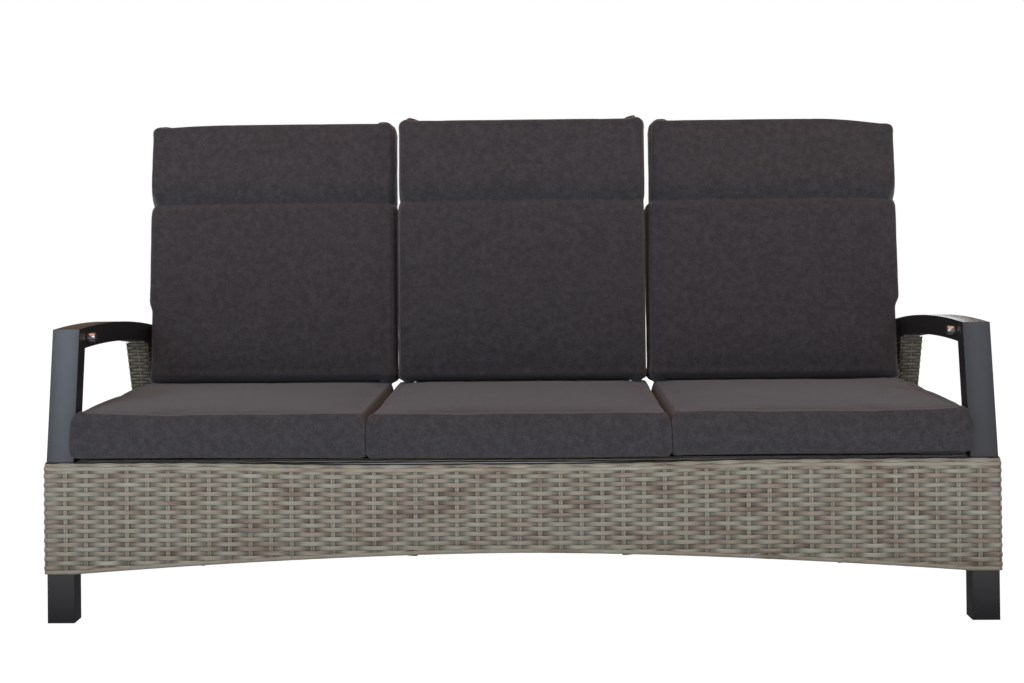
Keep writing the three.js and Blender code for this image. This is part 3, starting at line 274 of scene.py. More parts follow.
def woven_skirt(start, end, facing, cells, arch, corner_stakes, sag=0.0):
    """One side of the base. Its border sags by that much, and the rows follow it less and less."""
    arch_half, arch_rise = arch
    at, length = skirt_line(start, end, facing)
    cell = length / cells
    upward = Vector((0, 0, 1))
    bm = new_weave()

    def bottom(distance):
        off = abs(distance - length / 2) / arch_half
        return ARCH_FOOT + (arch_rise * (1 - off ** ARCH_POWER) if off < 1 else 0)

    def wave(distance, phase, amplitude=1):
        """In front of one pair of stakes and behind the next, but not deep near a corner."""
        swing = math.tanh(math.cos(math.pi * (distance / cell + phase))) / math.tanh(1)
        nearest = min(distance, length - distance)
        return amplitude * (max(swing, -0.2) if nearest < 0.4 * cell else swing)

    def sagged(distance, height):
        off = (2 * distance / length - 1 + 0.10) / 0.48
        followed = max(0, (height - SAG_ENDS_AT) / (RIM_HEIGHT - SAG_ENDS_AT))
        return height - sag * math.exp(-off ** 4) * followed

    def run_along(start_at, stop_at, height_at, proud_at, half_width, half_thickness,
                  steps=STEPS_PER_CELL, widen_at=None, relief_at=lambda d: 0.5):
        def place(share):
            distance = start_at + (stop_at - start_at) * share
            point, out = at(distance, proud_at(distance))
            widened = widen_at(distance) if widen_at else 1
            return point + upward * sagged(distance, height_at(distance)), upward * widened, out

        pieces = max(2, round(steps * (stop_at - start_at) / cell))
        lay_strand(
            bm, pieces, place, half_width, half_thickness,
            relief=lambda share: relief_at(start_at + (stop_at - start_at) * share),
        )

    def behind_wider(distance, phase):
        """Beaten tight: a row is narrow over the stakes and fills up to its neighbours behind."""
        swing = math.cos(math.pi * (distance / cell + phase))
        return 1 - 0.10 * swing + 0.45 * max(0, -swing) ** 0.6

    # rows, which stop short at the arch
    height, row = RIM_HEIGHT - FIRST_ROW_BELOW_RIM, 0
    while height > ARCH_FOOT + LAST_ROW_OVER_FOOT:
        over = max(0, height - ARCH_FOOT - ROW_CLEARS_EDGE) / arch_rise
        reach = arch_half * (1 - over) ** (1 / ARCH_POWER) if over < 1 else 0
        spans = [(0, length / 2 - reach), (length / 2 + reach, length)] if reach else [(0, length)]
        for begin, stop in spans:
            if stop - begin < cell / 2:
                continue
            run_along(
                begin, stop,
                lambda d: height + ROW_UNEVENNESS * noise.noise(Vector((d * 11, row * 2.7, 5.1))),
                lambda d: wave(d, row, ROW_WINDING),
                ROW_HALF_WIDTH, THIN, widen_at=lambda d: behind_wider(d, row),
                relief_at=lambda d: wave(d, row),
            )
        height -= ROW_PITCH
        row += 1

    # upright stakes, in pairs
    for stake in range(cells + 1):
        at_corner = stake in (0, cells)
        if at_corner and not corner_stakes:
            continue
        for shift in ([0] if at_corner else [-STAKE_HALF_WIDTH, STAKE_HALF_WIDTH]):
            distance = stake * cell + shift
            foot = bottom(distance) + STAKE_OVER_FOOT
            middle, out = at(distance, 0.0003)
            sideways = upward.cross(out)

            def place(share):
                level = foot + (RIM_HEIGHT - STAKE_BELOW_RIM - foot) * share
                return middle + upward * sagged(distance, level), sideways, out

            lay_strand(bm, 4, place, STAKE_HALF_WIDTH, STAKE_HALF_THICKNESS, relief=1)

    # braided border along the rim: a core painted near black as the shade under the cushions, an
    # upper strand, a light band, a lower strand
    for below_rim, ripple, stands, phase, winding, half, depth, relief, relief_swing, steps in (
        (0.0028, 0, -0.0016, 0, 0, 0.0028, 0.0013, DEEP_RELIEF, 0, 2),
        (0.0066, 0.0006, 0, 1, 0.0008, 0.0036, THIN, 0.6, 0.4, STEPS_PER_CELL),
        (0.0142, 0.0007, 0.0014, 0, 0.0006, 0.0046, 0.0011, 1, 0, STEPS_PER_CELL),
        (0.0208, 0, 0, 1, 0.0016, 0.0040, THIN, -0.2, 1, STEPS_PER_CELL),
    ):
        run_along(
            0, length,
            lambda d: RIM_HEIGHT - below_rim + ripple * math.cos(math.pi * d / cell),
            lambda d: wave(d, phase, winding) + stands,
            half, depth, steps, relief_at=lambda d: relief + relief_swing * wave(d, phase),
        )

    # thin strands that rise in arcs over two stakes each, along the top of the border
    arc_overlap = 0.004
    for arc in range(cells // 2):
        begin = max(0, 2 * arc * cell - arc_overlap)
        stop = min(length, 2 * (arc + 1) * cell + arc_overlap)
        middle_at, half = (begin + stop) / 2, (stop - begin) / 2

        def lift(distance):
            return max(0, 1 - ((distance - middle_at) / half) ** 2)

        run_along(
            begin, stop,
            lambda d: RIM_HEIGHT - 0.0090 + 0.0062 * lift(d) ** 0.7,
            lambda d: -0.0004 + 0.0026 * lift(d) ** 0.5,
            0.0014, THIN, 8, relief_at=lambda d: 0.6,
        )

    # edge strand along the bottom, bound at every stake
    run_along(
        0, length, lambda d: bottom(d) + EDGE_HALF_WIDTH,
        lambda d: 0.0008 * abs(math.sin(math.pi * d / cell)), EDGE_HALF_WIDTH, 0.0027, 8,
    )
    return bm


def top_strip(bm, start, heading, across, rows, length, cells, gaps=()):
    """The woven strip that lies level behind the rim, over the frame."""
    cell = length / cells
    upward = Vector((0, 0, 1))
    for row in range(rows):
        offset = across * TOP_PITCH * (0.5 + row)
        spans = [(0, length)]
        for low, high, first_row, last_row in gaps:
            if first_row <= row <= last_row:
                spans = [s for a, b in spans for s in ((a, low), (high, b))]
        for begin, stop in spans:
            def place(share):
                distance = begin + (stop - begin) * share
                swing = math.cos(math.pi * (distance / cell + row))
                level = RIM_HEIGHT - TOP_BELOW_RIM + TOP_WINDING * swing
                return start + heading * distance + offset + upward * level, across, upward

            pieces = max(2, round(4 * (stop - begin) / cell))
            # painted shade: a low relief darkens the strip, as it lies in shadow under the cushions
            lay_strand(bm, pieces, place, TOP_HALF_WIDTH, THIN, 6, relief=-0.3)


right, rearward = Vector((1, 0, 0)), Vector((0, 1, 0))
front_left, front_right = Vector((-SIDE_LINE, FRONT_LINE, 0)), Vector((SIDE_LINE, FRONT_LINE, 0))
rear_left, rear_right = Vector((-SIDE_LINE, REAR_LINE, 0)), Vector((SIDE_LINE, REAR_LINE, 0))

front_skirt = woven_skirt(
    front_left, front_right, -rearward, LONG_CELLS, LONG_ARCH, True, sag=FRONT_SAG,
)
top_strip(front_skirt, Vector((-0.96, -0.3875, 0)), right, rearward, *LONG_STRIP)
finished_piece("front_skirt_weave", front_skirt, rattan, "sofa_base", "front_apron")

rear_skirt = woven_skirt(rear_right, rear_left, rearward, LONG_CELLS, LONG_ARCH, True)
top_strip(rear_skirt, Vector((0.96, 0.386, 0)), -right, -rearward, *LONG_STRIP)
finished_piece("rear_skirt_weave", rear_skirt, rattan, "sofa_base", "rear_apron")

for side, begin, stop in ((1, front_right, rear_right), (-1, rear_left, front_left)):
    name = "right" if side > 0 else "left"
    out = Vector((side, 0, 0))
    skirt = woven_skirt(begin, stop, out, SIDE_CELLS, SIDE_ARCH, False)
    strip_start = Vector((side * 1.0205, -0.3472, 0))
    top_strip(skirt, strip_start, rearward, -out, *SIDE_STRIP, [ROUND_SLEEVE])
    finished_piece(
        f"{name}_skirt_weave", skirt, rattan, "sofa_base", f"{name}_side_apron",
    )

# --- Woven sleeves of the rear posts ---
# The leaning posts that carry the rear ends of the arms are bound all round with the same
# strands, row on row, over four corner stakes and one in the middle of each wide face.
SLEEVE_LEAN = math.tan(math.radians(20.3))
SLEEVE_X, SLEEVE_FRONT_AT_RIM = 0.99125, 0.25227
SLEEVE_HALF_X, SLEEVE_HALF_Y, SLEEVE_SKIN = 0.02925, 0.033, 0.003
SLEEVE_CORNER = 0.004
SLEEVE_ROWS_BEGIN, SLEEVE_ROWS_END, SLEEVE_PITCH = RIM_HEIGHT + 0.0055, 0.5490, 0.0084
SLEEVE_STAKES_BEGIN, SLEEVE_STAKES_END, SLEEVE_STAKES = 0.3485, 0.5515, 8
# painted shade: the sleeves get the grey rattan's tones made darker, for the shade they stand in
sleeve_rattan = rattan_finish("rattan_in_painted_shade", [
    (0.30, (0.125, 0.109, 0.077)),
    (0.45, (0.192, 0.172, 0.125)),
    (0.60, (0.214, 0.200, 0.151)),
    (0.75, (0.279, 0.253, 0.198)),
])
for side in (1, -1):
    name = "right" if side > 0 else "left"
    bm = new_weave()
    half_x, half_y = SLEEVE_HALF_X - SLEEVE_SKIN, SLEEVE_HALF_Y - SLEEVE_SKIN
    lines = [
        (Vector((-half_x, -half_y, 0)), Vector((1, 0, 0)), 2 * half_x),
        (Vector((half_x, -half_y, 0)), Vector((0, 1, 0)), 2 * half_y),
        (Vector((half_x, half_y, 0)), Vector((-1, 0, 0)), 2 * half_x),
        (Vector((-half_x, half_y, 0)), Vector((0, -1, 0)), 2 * half_y),
    ]
    around = 4 * (half_x + half_y)

    def on_sleeve(distance, proud):
        """A point of the sleeve's outline and the way out there, with its corners rounded."""
        distance %= around
        for begin, heading, run in lines:
            if distance <= run:
                break
            distance -= run
        out = Vector((heading.y, -heading.x, 0))
        point = begin + heading * distance
        near = min(distance, run - distance)
        if near < SLEEVE_CORNER:
            way = -heading if distance < run / 2 else heading
            turn = (1 - near / SLEEVE_CORNER) * math.pi / 4
            out = out * math.cos(turn) + way * math.sin(turn)
            point -= out * 0.0012 * (1 - near / SLEEVE_CORNER)
        return point + out * proud, out

    def sleeve_place(height, distance, proud):
        """The same on the leaning post, at that height."""
        point, out = on_sleeve(distance, proud)
        y_front = SLEEVE_FRONT_AT_RIM - (height - RIM_HEIGHT) * SLEEVE_LEAN
        return point + Vector((side * SLEEVE_X, y_front + SLEEVE_HALF_Y, height)), out

    up_the_sleeve = Vector((0, -SLEEVE_LEAN, 1)).normalized()
    height, row = SLEEVE_ROWS_BEGIN, 0
    while height < SLEEVE_ROWS_END:
        def swing(share):
            return math.cos(math.pi * (SLEEVE_STAKES * share + row))

        def place(share):
            point, out = sleeve_place(height, share * around, 0.0013 * swing(share))
            return point, up_the_sleeve, out

        lay_strand(bm, 4 * SLEEVE_STAKES, place, 0.0046, THIN, 6, relief=swing)
        height += SLEEVE_PITCH
        row += 1
    for stake in range(SLEEVE_STAKES):
        def place(share):
            level = SLEEVE_STAKES_BEGIN + (SLEEVE_STAKES_END - SLEEVE_STAKES_BEGIN) * share
            point, out = sleeve_place(level, stake * around / SLEEVE_STAKES, 0)
            return point, out.cross(up_the_sleeve), out

        lay_strand(bm, 3, place, 0.0024, 0.0013, 6, relief=1)
    finished_piece(
        f"{name}_rear_sleeve_weave", bm, sleeve_rattan, "sofa_base",
        f"{name}_rear_post_sleeve",
    )

# --- Woven backs ---
# Three separate back panels, woven in rows that wrap round the side tubes of each frame.
# They face the cushions with their finished side, and their frames show from behind.
HINGE = Vector((0, 0.254267, 0.372))
BACK_LEANS = {"left": 11, "centre": 7.5, "right": 11}
BACK_SPACING = 0.635
BACK_BODIES = {"left": "left_back", "centre": "sofa_base", "right": "right_back"}
PANEL_HALF, PANEL_FRONT, PANEL_REAR, PANEL_SKIN = 0.2825, -0.0155, 0.0135, 0.003
PANEL_CORNER = 0.007
PANEL_CELLS = 14
PANEL_ROWS_BEGIN, PANEL_ROWS_END = 0.0335, 0.694
PANEL_STAKES_BEGIN, PANEL_STAKES_END, PANEL_STAKE_SHIFT = 0.0285, 0.6975, 0.0031


def upright_to_place(name):
    """Takes a back from its own upright frame, with its foot on the hinge, to where it leans."""
    side = {"left": -1, "centre": 0, "right": 1}[name]
    shift = Matrix.Translation(HINGE + Vector((side * BACK_SPACING, 0, 0)))
    return shift @ Matrix.Rotation(-math.radians(BACK_LEANS[name]), 4, "X")


for name in BACK_LEANS:
    to_place = upright_to_place(name)
    turn = to_place.to_3x3()
    bm = new_weave()
    upward = Vector((0, 0, 1))
    half, front, corner = PANEL_HALF - PANEL_SKIN, PANEL_FRONT + PANEL_SKIN, PANEL_CORNER
    flat = 2 * (half - corner)
    bend = corner * math.pi / 2
    depth = PANEL_REAR - front - corner
    wrap = flat + 2 * (bend + depth)

    def across_back(distance, proud):
        """From the rear of one side tube, over the front, to the rear of the other."""
        mirrored = distance > wrap / 2
        d = wrap - distance if mirrored else distance
        if d < depth:
            point, out = Vector((-half, PANEL_REAR - d, 0)), Vector((-1, 0, 0))
        elif d < depth + bend:
            turned = (d - depth) / corner
            out = Vector((-math.cos(turned), -math.sin(turned), 0))
            point = Vector((corner - half, front + corner, 0)) + out * corner
        else:
            point, out = Vector((corner - half + d - depth - bend, front, 0)), Vector((0, -1, 0))
        point += out * proud
        if mirrored:
            point.x, out.x = -point.x, -out.x
        return point, out

    height, row = PANEL_ROWS_BEGIN, 0
    while height < PANEL_ROWS_END:
        def swing(share):
            return math.cos(math.pi * (share * PANEL_CELLS + row))

        def place(share):
            point, out = across_back(share * wrap, 0.0019 * math.tanh(1.5 * swing(share)))
            point.z = height
            return to_place @ point, turn @ upward, turn @ out

        lay_strand(bm, 5 * PANEL_CELLS, place, 0.0048, THIN, 6, relief=swing)
        height += ROW_PITCH
        row += 1
    for stake in range(1, PANEL_CELLS):
        for shift in (-PANEL_STAKE_SHIFT, PANEL_STAKE_SHIFT):
            def place(share):
                point, out = across_back(stake * wrap / PANEL_CELLS + shift, 0)
                point.z = PANEL_STAKES_BEGIN + (PANEL_STAKES_END - PANEL_STAKES_BEGIN) * share
                return to_place @ point, turn @ out.cross(upward), turn @ out

            lay_strand(bm, 2, place, 0.0028, 0.0012, 6, relief=1)

    # three strands close the top edge, and three the foot
    for level, facing in ((0.6985, 1), (0.0285, -1)):
        for strip in range(3):
            def place(share):
                point = Vector((-0.273 + 0.546 * share, -0.009 + 0.009 * strip, level))
                point.z += 0.0012 * math.cos(math.pi * (share * 12 + strip))
                return to_place @ point, turn @ Vector((0, 1, 0)), turn @ (upward * facing)

            lay_strand(bm, 36, place, 0.0042, 0.0012, 6)
    finished_piece(
        f"{name}_back_panel_weave", bm, rattan, BACK_BODIES[name], f"{name}_back_weave",
    )

# --- Powder-coated posts, arms and legs ---
# Rectangular aluminium profiles, sawn, mitred and welded, then powder-coated in a dark
# blue-grey. Their long corners are rounded and the coat has a faint orange-peel surface.
CORNER_RADIUS = 0.003
SMOOTH_UNDER = math.radians(35)
ARM_SIDES_X = (0.962, 1.0205)


def object_grain(material, scale, detail):
    """Noise over the piece's own space."""
    nodes, links = material.node_tree.nodes, material.node_tree.links
    place = nodes.new("ShaderNodeTexCoord")
    texture = nodes.new("ShaderNodeTexNoise")
    texture.inputs["Scale"].default_value = scale
    texture.inputs["Detail"].default_value = detail
    links.new(place.outputs["Object"], texture.inputs["Vector"])
    return texture.outputs["Fac"]


def coated_finish(name, colour, roughness, metallic=0.0, specular=0.5):
    """An even coat or metal, slightly clouded, with uneven gloss and a fine grain."""
    material = bpy.data.materials.new(name)
    material.use_nodes = True
    nodes, links = material.node_tree.nodes, material.node_tree.links
    shader = nodes["Principled BSDF"]
    shader.inputs["Metallic"].default_value = metallic
    shader.inputs["Specular IOR Level"].default_value = specular
    ramp = nodes.new("ShaderNodeValToRGB")
    ramp.color_ramp.elements[0].position, ramp.color_ramp.elements[1].position = 0.25, 0.75
    ramp.color_ramp.elements[0].color = (*[c * 0.92 for c in colour], 1)
    ramp.color_ramp.elements[1].color = (*[c * 1.07 for c in colour], 1)
    links.new(object_grain(material, 7, 3), ramp.inputs["Fac"])
    links.new(ramp.outputs["Color"], shader.inputs["Base Color"])
    gloss = nodes.new("ShaderNodeMapRange")
    gloss.inputs["To Min"].default_value = roughness - 0.05
    gloss.inputs["To Max"].default_value = roughness + 0.05
    links.new(object_grain(material, 40, 4), gloss.inputs["Value"])
    links.new(gloss.outputs["Result"], shader.inputs["Roughness"])
    bump = nodes.new("ShaderNodeBump")
    bump.inputs["Strength"].default_value = 0.12
    bump.inputs["Distance"].default_value = 0.0003
    links.new(object_grain(material, 1400, 1), bump.inputs["Height"])
    links.new(bump.outputs["Normal"], shader.inputs["Normal"])
    return material


def refined_copy(name, node, material, body, rounded=None):
    """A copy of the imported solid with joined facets, the chosen edges rounded, smooth shading."""
    bm = bmesh.new()
    bm.from_mesh(frame["nodes"][node].data)
    bmesh.ops.remove_doubles(bm, verts=bm.verts, dist=0.00001)
    bmesh.ops.dissolve_limit(bm, angle_limit=math.radians(0.3), verts=bm.verts, edges=bm.edges)
    if rounded:
        sharp = [e for e in bm.edges if e.is_manifold and e.calc_face_angle() > 0.6]
        chosen = [e for e in sharp if rounded(e)]
        bmesh.ops.bevel(
            bm, geom=chosen, offset=CORNER_RADIUS, offset_type="OFFSET", segments=3, profile=0.5,
            affect="EDGES", material=-1, clamp_overlap=True,
        )
    for face in bm.faces:
        face.smooth = True
    mesh = bpy.data.meshes.new(name)
    bm.to_mesh(mesh)
    bm.free()
    mesh.set_sharp_from_angle(angle=SMOOTH_UNDER)
    mesh.materials.append(material)
    piece = bpy.data.objects.new(name, mesh)
    bpy.context.collection.objects.link(piece)
    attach(piece, body)
    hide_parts(node)


def outer_corner(axis):
    """Picks the edges along one axis that lie on the profile's inner or outer side."""
    def chosen(edge):
        a, b = (v.co for v in edge.verts)
        on_side = any(all(abs(abs(p.x) - x) < 0.00005 for p in (a, b)) for x in ARM_SIDES_X)
        way = (b - a).normalized()
        return on_side and abs(way[axis]) > 0.9

    return chosen


post_coat = coated_finish("post_coat", (0.013, 0.0132, 0.0150), 0.38, specular=0.66)
for side in ("left", "right"):
    for piece, node, axis in (
        ("front_post_tube", "front_post", 2),
        ("arm_tube", "armrest", 1),
        ("rear_leg_tube", "rear_leg", 2),
    ):
        refined_copy(f"{side}_{piece}", f"{side}_{node}", post_coat,
                     "sofa_base", outer_corner(axis))

# --- Foot glides ---
# Moulded black plastic plugs, pressed into the open ends of the legs.
glide_plastic = coated_finish("glide_plastic", (0.02, 0.02, 0.021), 0.5)
for side in ("left", "right"):
    for end in ("front", "rear"):
        refined_copy(f"{side}_{end}_glide", f"{side}_{end}_foot_glide", glide_plastic,
                     "sofa_base")

# --- Inner frame, hinges and gas springs ---
# Unpainted aluminium rails and back frames, black steel brackets, and the zinc-plated and
# polished steel of the hinge shafts and springs, seen from below and behind.
bare_tube = coated_finish("bare_aluminium", (0.46, 0.47, 0.48), 0.38, 0.9)
zinc_steel = coated_finish("zinc_steel", (0.55, 0.56, 0.57), 0.3, 0.95)
black_steel = coated_finish("black_steel", (0.03, 0.031, 0.033), 0.4, 0.3)
polished_steel = coated_finish("polished_steel", (0.62, 0.6, 0.6), 0.16, 1.0)
cable_sheath = coated_finish("cable_sheath", (0.018, 0.018, 0.019), 0.45)

hardware = [
    ("front_rail hinge_rail rear_rail centre_back_frame", bare_tube, "frame_tube"),
    ("centre_back_bolt_left centre_back_bolt_right", zinc_steel, "steel_fittings"),
]
for side in ("left", "right"):
    tubes = f"{side}_side_rail {side}_cross_rail {side}_rear_post_tube {side}_back_frame"
    hardware += [
        (tubes, bare_tube, "frame_tube"),
        (f"{side}_spring_bracket {side}_hinge_shaft", zinc_steel, "steel_fittings"),
        (f"{side}_gas_spring_cylinder", black_steel, "black_steel"),
        (f"{side}_gas_spring_rod {side}_release_button", polished_steel, "polished_steel"),
        (f"{side}_release_cable", cable_sheath, "black_plastic"),
        (f"{side}_button_collar", glide_plastic, "black_plastic"),
    ]
for back in BACK_LEANS:
    brackets = f"{back}_back_bracket_left {back}_back_bracket_right"
    hardware.append((brackets, black_steel, "black_steel"))
body_of_node = {n: b for b, ns in frame["record"]["behaviour"]["bodies"].items() for n in ns}
for nodes, material, slot in hardware:
    for node in nodes.split():
        refined_copy(f"{node}_finish", node, material, body_of_node[node])

# --- Seat deck ---
# Woven webbing under the seat cushions, stretched over the rails. It shows from below only.
deck_webbing = coated_finish("deck_webbing", (0.24, 0.22, 0.18), 0.7)
nodes, links = deck_webbing.node_tree.nodes, deck_webbing.node_tree.links
deck_shader = nodes["Principled BSDF"]
deck_place = nodes.new("ShaderNodeTexCoord")
webbing = nodes.new("ShaderNodeTexBrick")
webbing.offset = 0.5
webbing.inputs["Color1"].default_value = (0.27, 0.25, 0.205, 1)
webbing.inputs["Color2"].default_value = (0.19, 0.172, 0.138, 1)
webbing.inputs["Mortar"].default_value = (0.02, 0.018, 0.015, 1)
webbing.inputs["Scale"].default_value = 1
webbing.inputs["Brick Width"].default_value = 0.064
webbing.inputs["Row Height"].default_value = 0.0115
webbing.inputs["Mortar Size"].default_value = 0.0007
webbing_bump = nodes.new("ShaderNodeBump")
webbing_bump.inputs["Strength"].default_value = 0.6
webbing_bump.inputs["Distance"].default_value = 0.001
webbing_bump.invert = True
links.new(deck_place.outputs["Object"], webbing.inputs["Vector"])
links.new(webbing.outputs["Color"], deck_shader.inputs["Base Color"])
links.new(webbing.outputs["Fac"], webbing_bump.inputs["Height"])
links.new(webbing_bump.outputs["Normal"], deck_shader.inputs["Normal"])
deck = frame["nodes"]["seat_deck"]
deck.data.materials.clear()
deck.data.materials.append(deck_webbing)

# --- Seat cushions ---
# Three foam blocks in taut sewn covers of fine charcoal weave, laid side by side on the deck.
# Their tops are nearly flat, with full front and outer edges, and they press flat against each
# other. Each cover is its solid, filled by cloth pressure and drawn out to the solid's box.


def cloth_finish(name, dark, light):
    """A fine melange weave: crossing threads, mottled yarn and a soft sheen."""
    material = bpy.data.materials.new(name)
    material.use_nodes = True
    nodes, links = material.node_tree.nodes, material.node_tree.links
    shader = nodes["Principled BSDF"]
    shader.inputs["Roughness"].default_value = 0.92
    shader.inputs["Specular IOR Level"].default_value = 0.2
    shader.inputs["Sheen Weight"].default_value = 0.25
    shader.inputs["Sheen Roughness"].default_value = 0.5
    place = nodes.new("ShaderNodeTexCoord")

    def joined(operation, a, b):
        step = nodes.new("ShaderNodeMath")
        step.operation = operation
        links.new(a, step.inputs[0])
        links.new(b, step.inputs[1])
        return step.outputs["Value"]

    threads = []
    for axis in "XYZ":
        wave = nodes.new("ShaderNodeTexWave")
        wave.bands_direction = axis
        wave.inputs["Scale"].default_value = 220
        wave.inputs["Distortion"].default_value = 0.6
        wave.inputs["Detail"].default_value = 1
        links.new(place.outputs["Object"], wave.inputs["Vector"])
        threads.append(wave.outputs["Fac"])
    crossings = nodes.new("ShaderNodeCombineXYZ")
    for axis, (a, b) in zip("XYZ", ((1, 2), (2, 0), (0, 1))):
        links.new(joined("MULTIPLY", threads[a], threads[b]), crossings.inputs[axis])
    squared = nodes.new("ShaderNodeVectorMath")
    squared.operation = "MULTIPLY"
    links.new(place.outputs["Normal"], squared.inputs[0])
    links.new(place.outputs["Normal"], squared.inputs[1])
    weave = nodes.new("ShaderNodeVectorMath")
    weave.operation = "DOT_PRODUCT"
    links.new(crossings.outputs["Vector"], weave.inputs[0])
    links.new(squared.outputs["Vector"], weave.inputs[1])
    mottle = joined("ADD", object_grain(material, 260, 3), object_grain(material, 60, 4))
    ramp = nodes.new("ShaderNodeValToRGB")
    ramp.color_ramp.elements[0].position, ramp.color_ramp.elements[1].position = 0.40, 0.62
    ramp.color_ramp.elements[0].color = (*dark, 1)
    ramp.color_ramp.elements[1].color = (*light, 1)
    half = nodes.new("ShaderNodeMath")
    half.operation = "MULTIPLY"
    half.inputs[1].default_value = 0.5
    links.new(mottle, half.inputs[0])
    links.new(half.outputs["Value"], ramp.inputs["Fac"])
    links.new(ramp.outputs["Color"], shader.inputs["Base Color"])
    bump = nodes.new("ShaderNodeBump")
    bump.inputs["Strength"].default_value = 0.5
    bump.inputs["Distance"].default_value = 0.0007
    links.new(weave.outputs["Value"], bump.inputs["Height"])
    links.new(bump.outputs["Normal"], shader.inputs["Normal"])
    return material


charcoal_cloth = cloth_finish("charcoal_cloth", (0.036, 0.0345, 0.0382), (0.058, 0.0565, 0.0615))
FABRIC_VOXEL = 0.009
SHRINK = 0.004
MOST_SWOLLEN = 0.008
CLOTH_STEPS = 20
SMOOTH_ROUNDS, FLAT_ROUNDS = 3, 12
FLAT_ENOUGH = 0.98
FILL_OUT = 0.012
BANDS, LEAST_REACH = 48, 0.001
EDGE_REACH = 0.034
EDGE_POWER = 9
MOST_DRAWN = 0.955
every_axis = {"use_axis_x": True, "use_axis_y": True, "use_axis_z": True}


def box_of(bm):
    """The lowest and the highest corner."""
    low = Vector(min(v.co[i] for v in bm.verts) for i in range(3))
    high = Vector(max(v.co[i] for v in bm.verts) for i in range(3))
    return low, high


def straighten(bm, low, high, moved, along):
    """Draws both faces across one axis out to the box, band by band along another."""
    middle, half = (low[moved] + high[moved]) / 2, (high[moved] - low[moved]) / 2
    reach = {-1: [LEAST_REACH] * (BANDS + 1), 1: [LEAST_REACH] * (BANDS + 1)}
    placed = []
    for vert in bm.verts:
        off = vert.co[moved] - middle
        way = 1 if off > 0 else -1
        at = min(1, max(0, (vert.co[along] - low[along]) / (high[along] - low[along]))) * BANDS
        placed.append((vert, way, at))
        reach[way][round(at)] = max(reach[way][round(at)], way * off)
    for vert, way, at in placed:
        band = min(int(at), BANDS - 1)
        here = reach[way][band] + (reach[way][band + 1] - reach[way][band]) * (at - band)
        vert.co[moved] = middle + (vert.co[moved] - middle) * half / max(here, half * MOST_DRAWN)


def crisper(point, low, high):
    """The wide rounding at the edges of the box is drawn out towards a small one."""
    half, middle = (high - low) / 2, (high + low) / 2
    off = point - middle
    into = Vector(max(0, abs(off[i]) - half[i] + EDGE_REACH) / EDGE_REACH for i in range(3))
    if into.length < 0.001:
        return
    way = into.normalized()
    into *= sum(part ** EDGE_POWER for part in way) ** (-1 / EDGE_POWER)
    for i in range(3):
        if into[i] > 0:
            point[i] = middle[i] + math.copysign(half[i] + EDGE_REACH * (into[i] - 1), off[i])


def eased(share):
    """Runs smoothly from 0 to 1."""
    share = min(1, max(0, share))
    return share * share * (3 - 2 * share)


def stuffed(name, node, to_place, settle, lengthwise):
    """A smaller copy of the cushion's solid, swollen by cloth pressure and shaped by settle.

    The work is done in the cushion's own upright frame, which to_place takes to its place."""
    bm = bmesh.new()
    bm.from_mesh(frame["nodes"][node].data)
    bmesh.ops.remove_doubles(bm, verts=bm.verts, dist=0.00001)
    bmesh.ops.transform(bm, matrix=to_place.inverted(), verts=bm.verts)
    low, high = box_of(bm)
    bm.normal_update()
    for vert, normal in [(v, v.normal.copy()) for v in bm.verts]:
        vert.co -= normal * SHRINK
    mesh = bpy.data.meshes.new(name)
    bm.to_mesh(mesh)
    bm.free()
    cushion = bpy.data.objects.new(name, mesh)
    bpy.context.collection.objects.link(cushion)
    remesh = cushion.modifiers.new("even_mesh", "REMESH")
    remesh.mode = "VOXEL"
    remesh.voxel_size = FABRIC_VOXEL
    graph = bpy.context.evaluated_depsgraph_get()
    even = bpy.data.meshes.new_from_object(cushion.evaluated_get(graph))
    cushion.modifiers.clear()
    cushion.data = even
    before = [v.co.copy() for v in even.vertices]
    cloth = cushion.modifiers.new("cover", "CLOTH")
    cloth.settings.quality = 4
    cloth.settings.mass = 0.3
    cloth.settings.tension_stiffness = 20
    cloth.settings.compression_stiffness = 20
    cloth.settings.bending_stiffness = 2
    cloth.settings.use_pressure = True
    cloth.settings.uniform_pressure_force = 4
    cloth.settings.effector_weights.gravity = 0
    for step in range(1, CLOTH_STEPS + 1):
        bpy.context.scene.frame_set(step)
    graph = bpy.context.evaluated_depsgraph_get()
    swollen = bpy.data.meshes.new_from_object(cushion.evaluated_get(graph))
    cushion.modifiers.clear()
    for vert, source, start in zip(even.vertices, swollen.vertices, before):
        move = source.co - start
        if move.length > MOST_SWOLLEN:
            move.length = MOST_SWOLLEN
        vert.co = start + move
    bpy.context.scene.frame_set(1)
    bm = bmesh.new()
    bm.from_mesh(even)
    for _ in range(SMOOTH_ROUNDS):
        bmesh.ops.smooth_vert(bm, verts=bm.verts, factor=0.5, **every_axis)
    bm.normal_update()
    flat = [v for v in bm.verts if max(abs(part) for part in v.normal) > FLAT_ENOUGH]
    for _ in range(FLAT_ROUNDS):
        bmesh.ops.smooth_vert(bm, verts=flat, factor=0.5, **every_axis)
    bmesh.ops.subdivide_edges(bm, edges=bm.edges, cuts=1, use_grid_fill=True, smooth=0.5)
    now_low, now_high = box_of(bm)
    for vert in bm.verts:
        for i in range(3):
            share = (vert.co[i] - now_low[i]) / (now_high[i] - now_low[i])
            vert.co[i] = low[i] + (high[i] - low[i]) * (0.5 + (share - 0.5) * (1 + FILL_OUT))
    straighten(bm, low, high, 0, lengthwise)
    straighten(bm, low, high, lengthwise, 0)
    for vert in bm.verts:
        crisper(vert.co, low, high)
        settle(vert.co, low, high)
    bmesh.ops.transform(bm, matrix=to_place, verts=bm.verts)
    for face in bm.faces:
        face.smooth = True
    bm.to_mesh(even)
    bm.free()
    even.materials.clear()
    even.materials.append(charcoal_cloth)
    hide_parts(node)
    return cushion


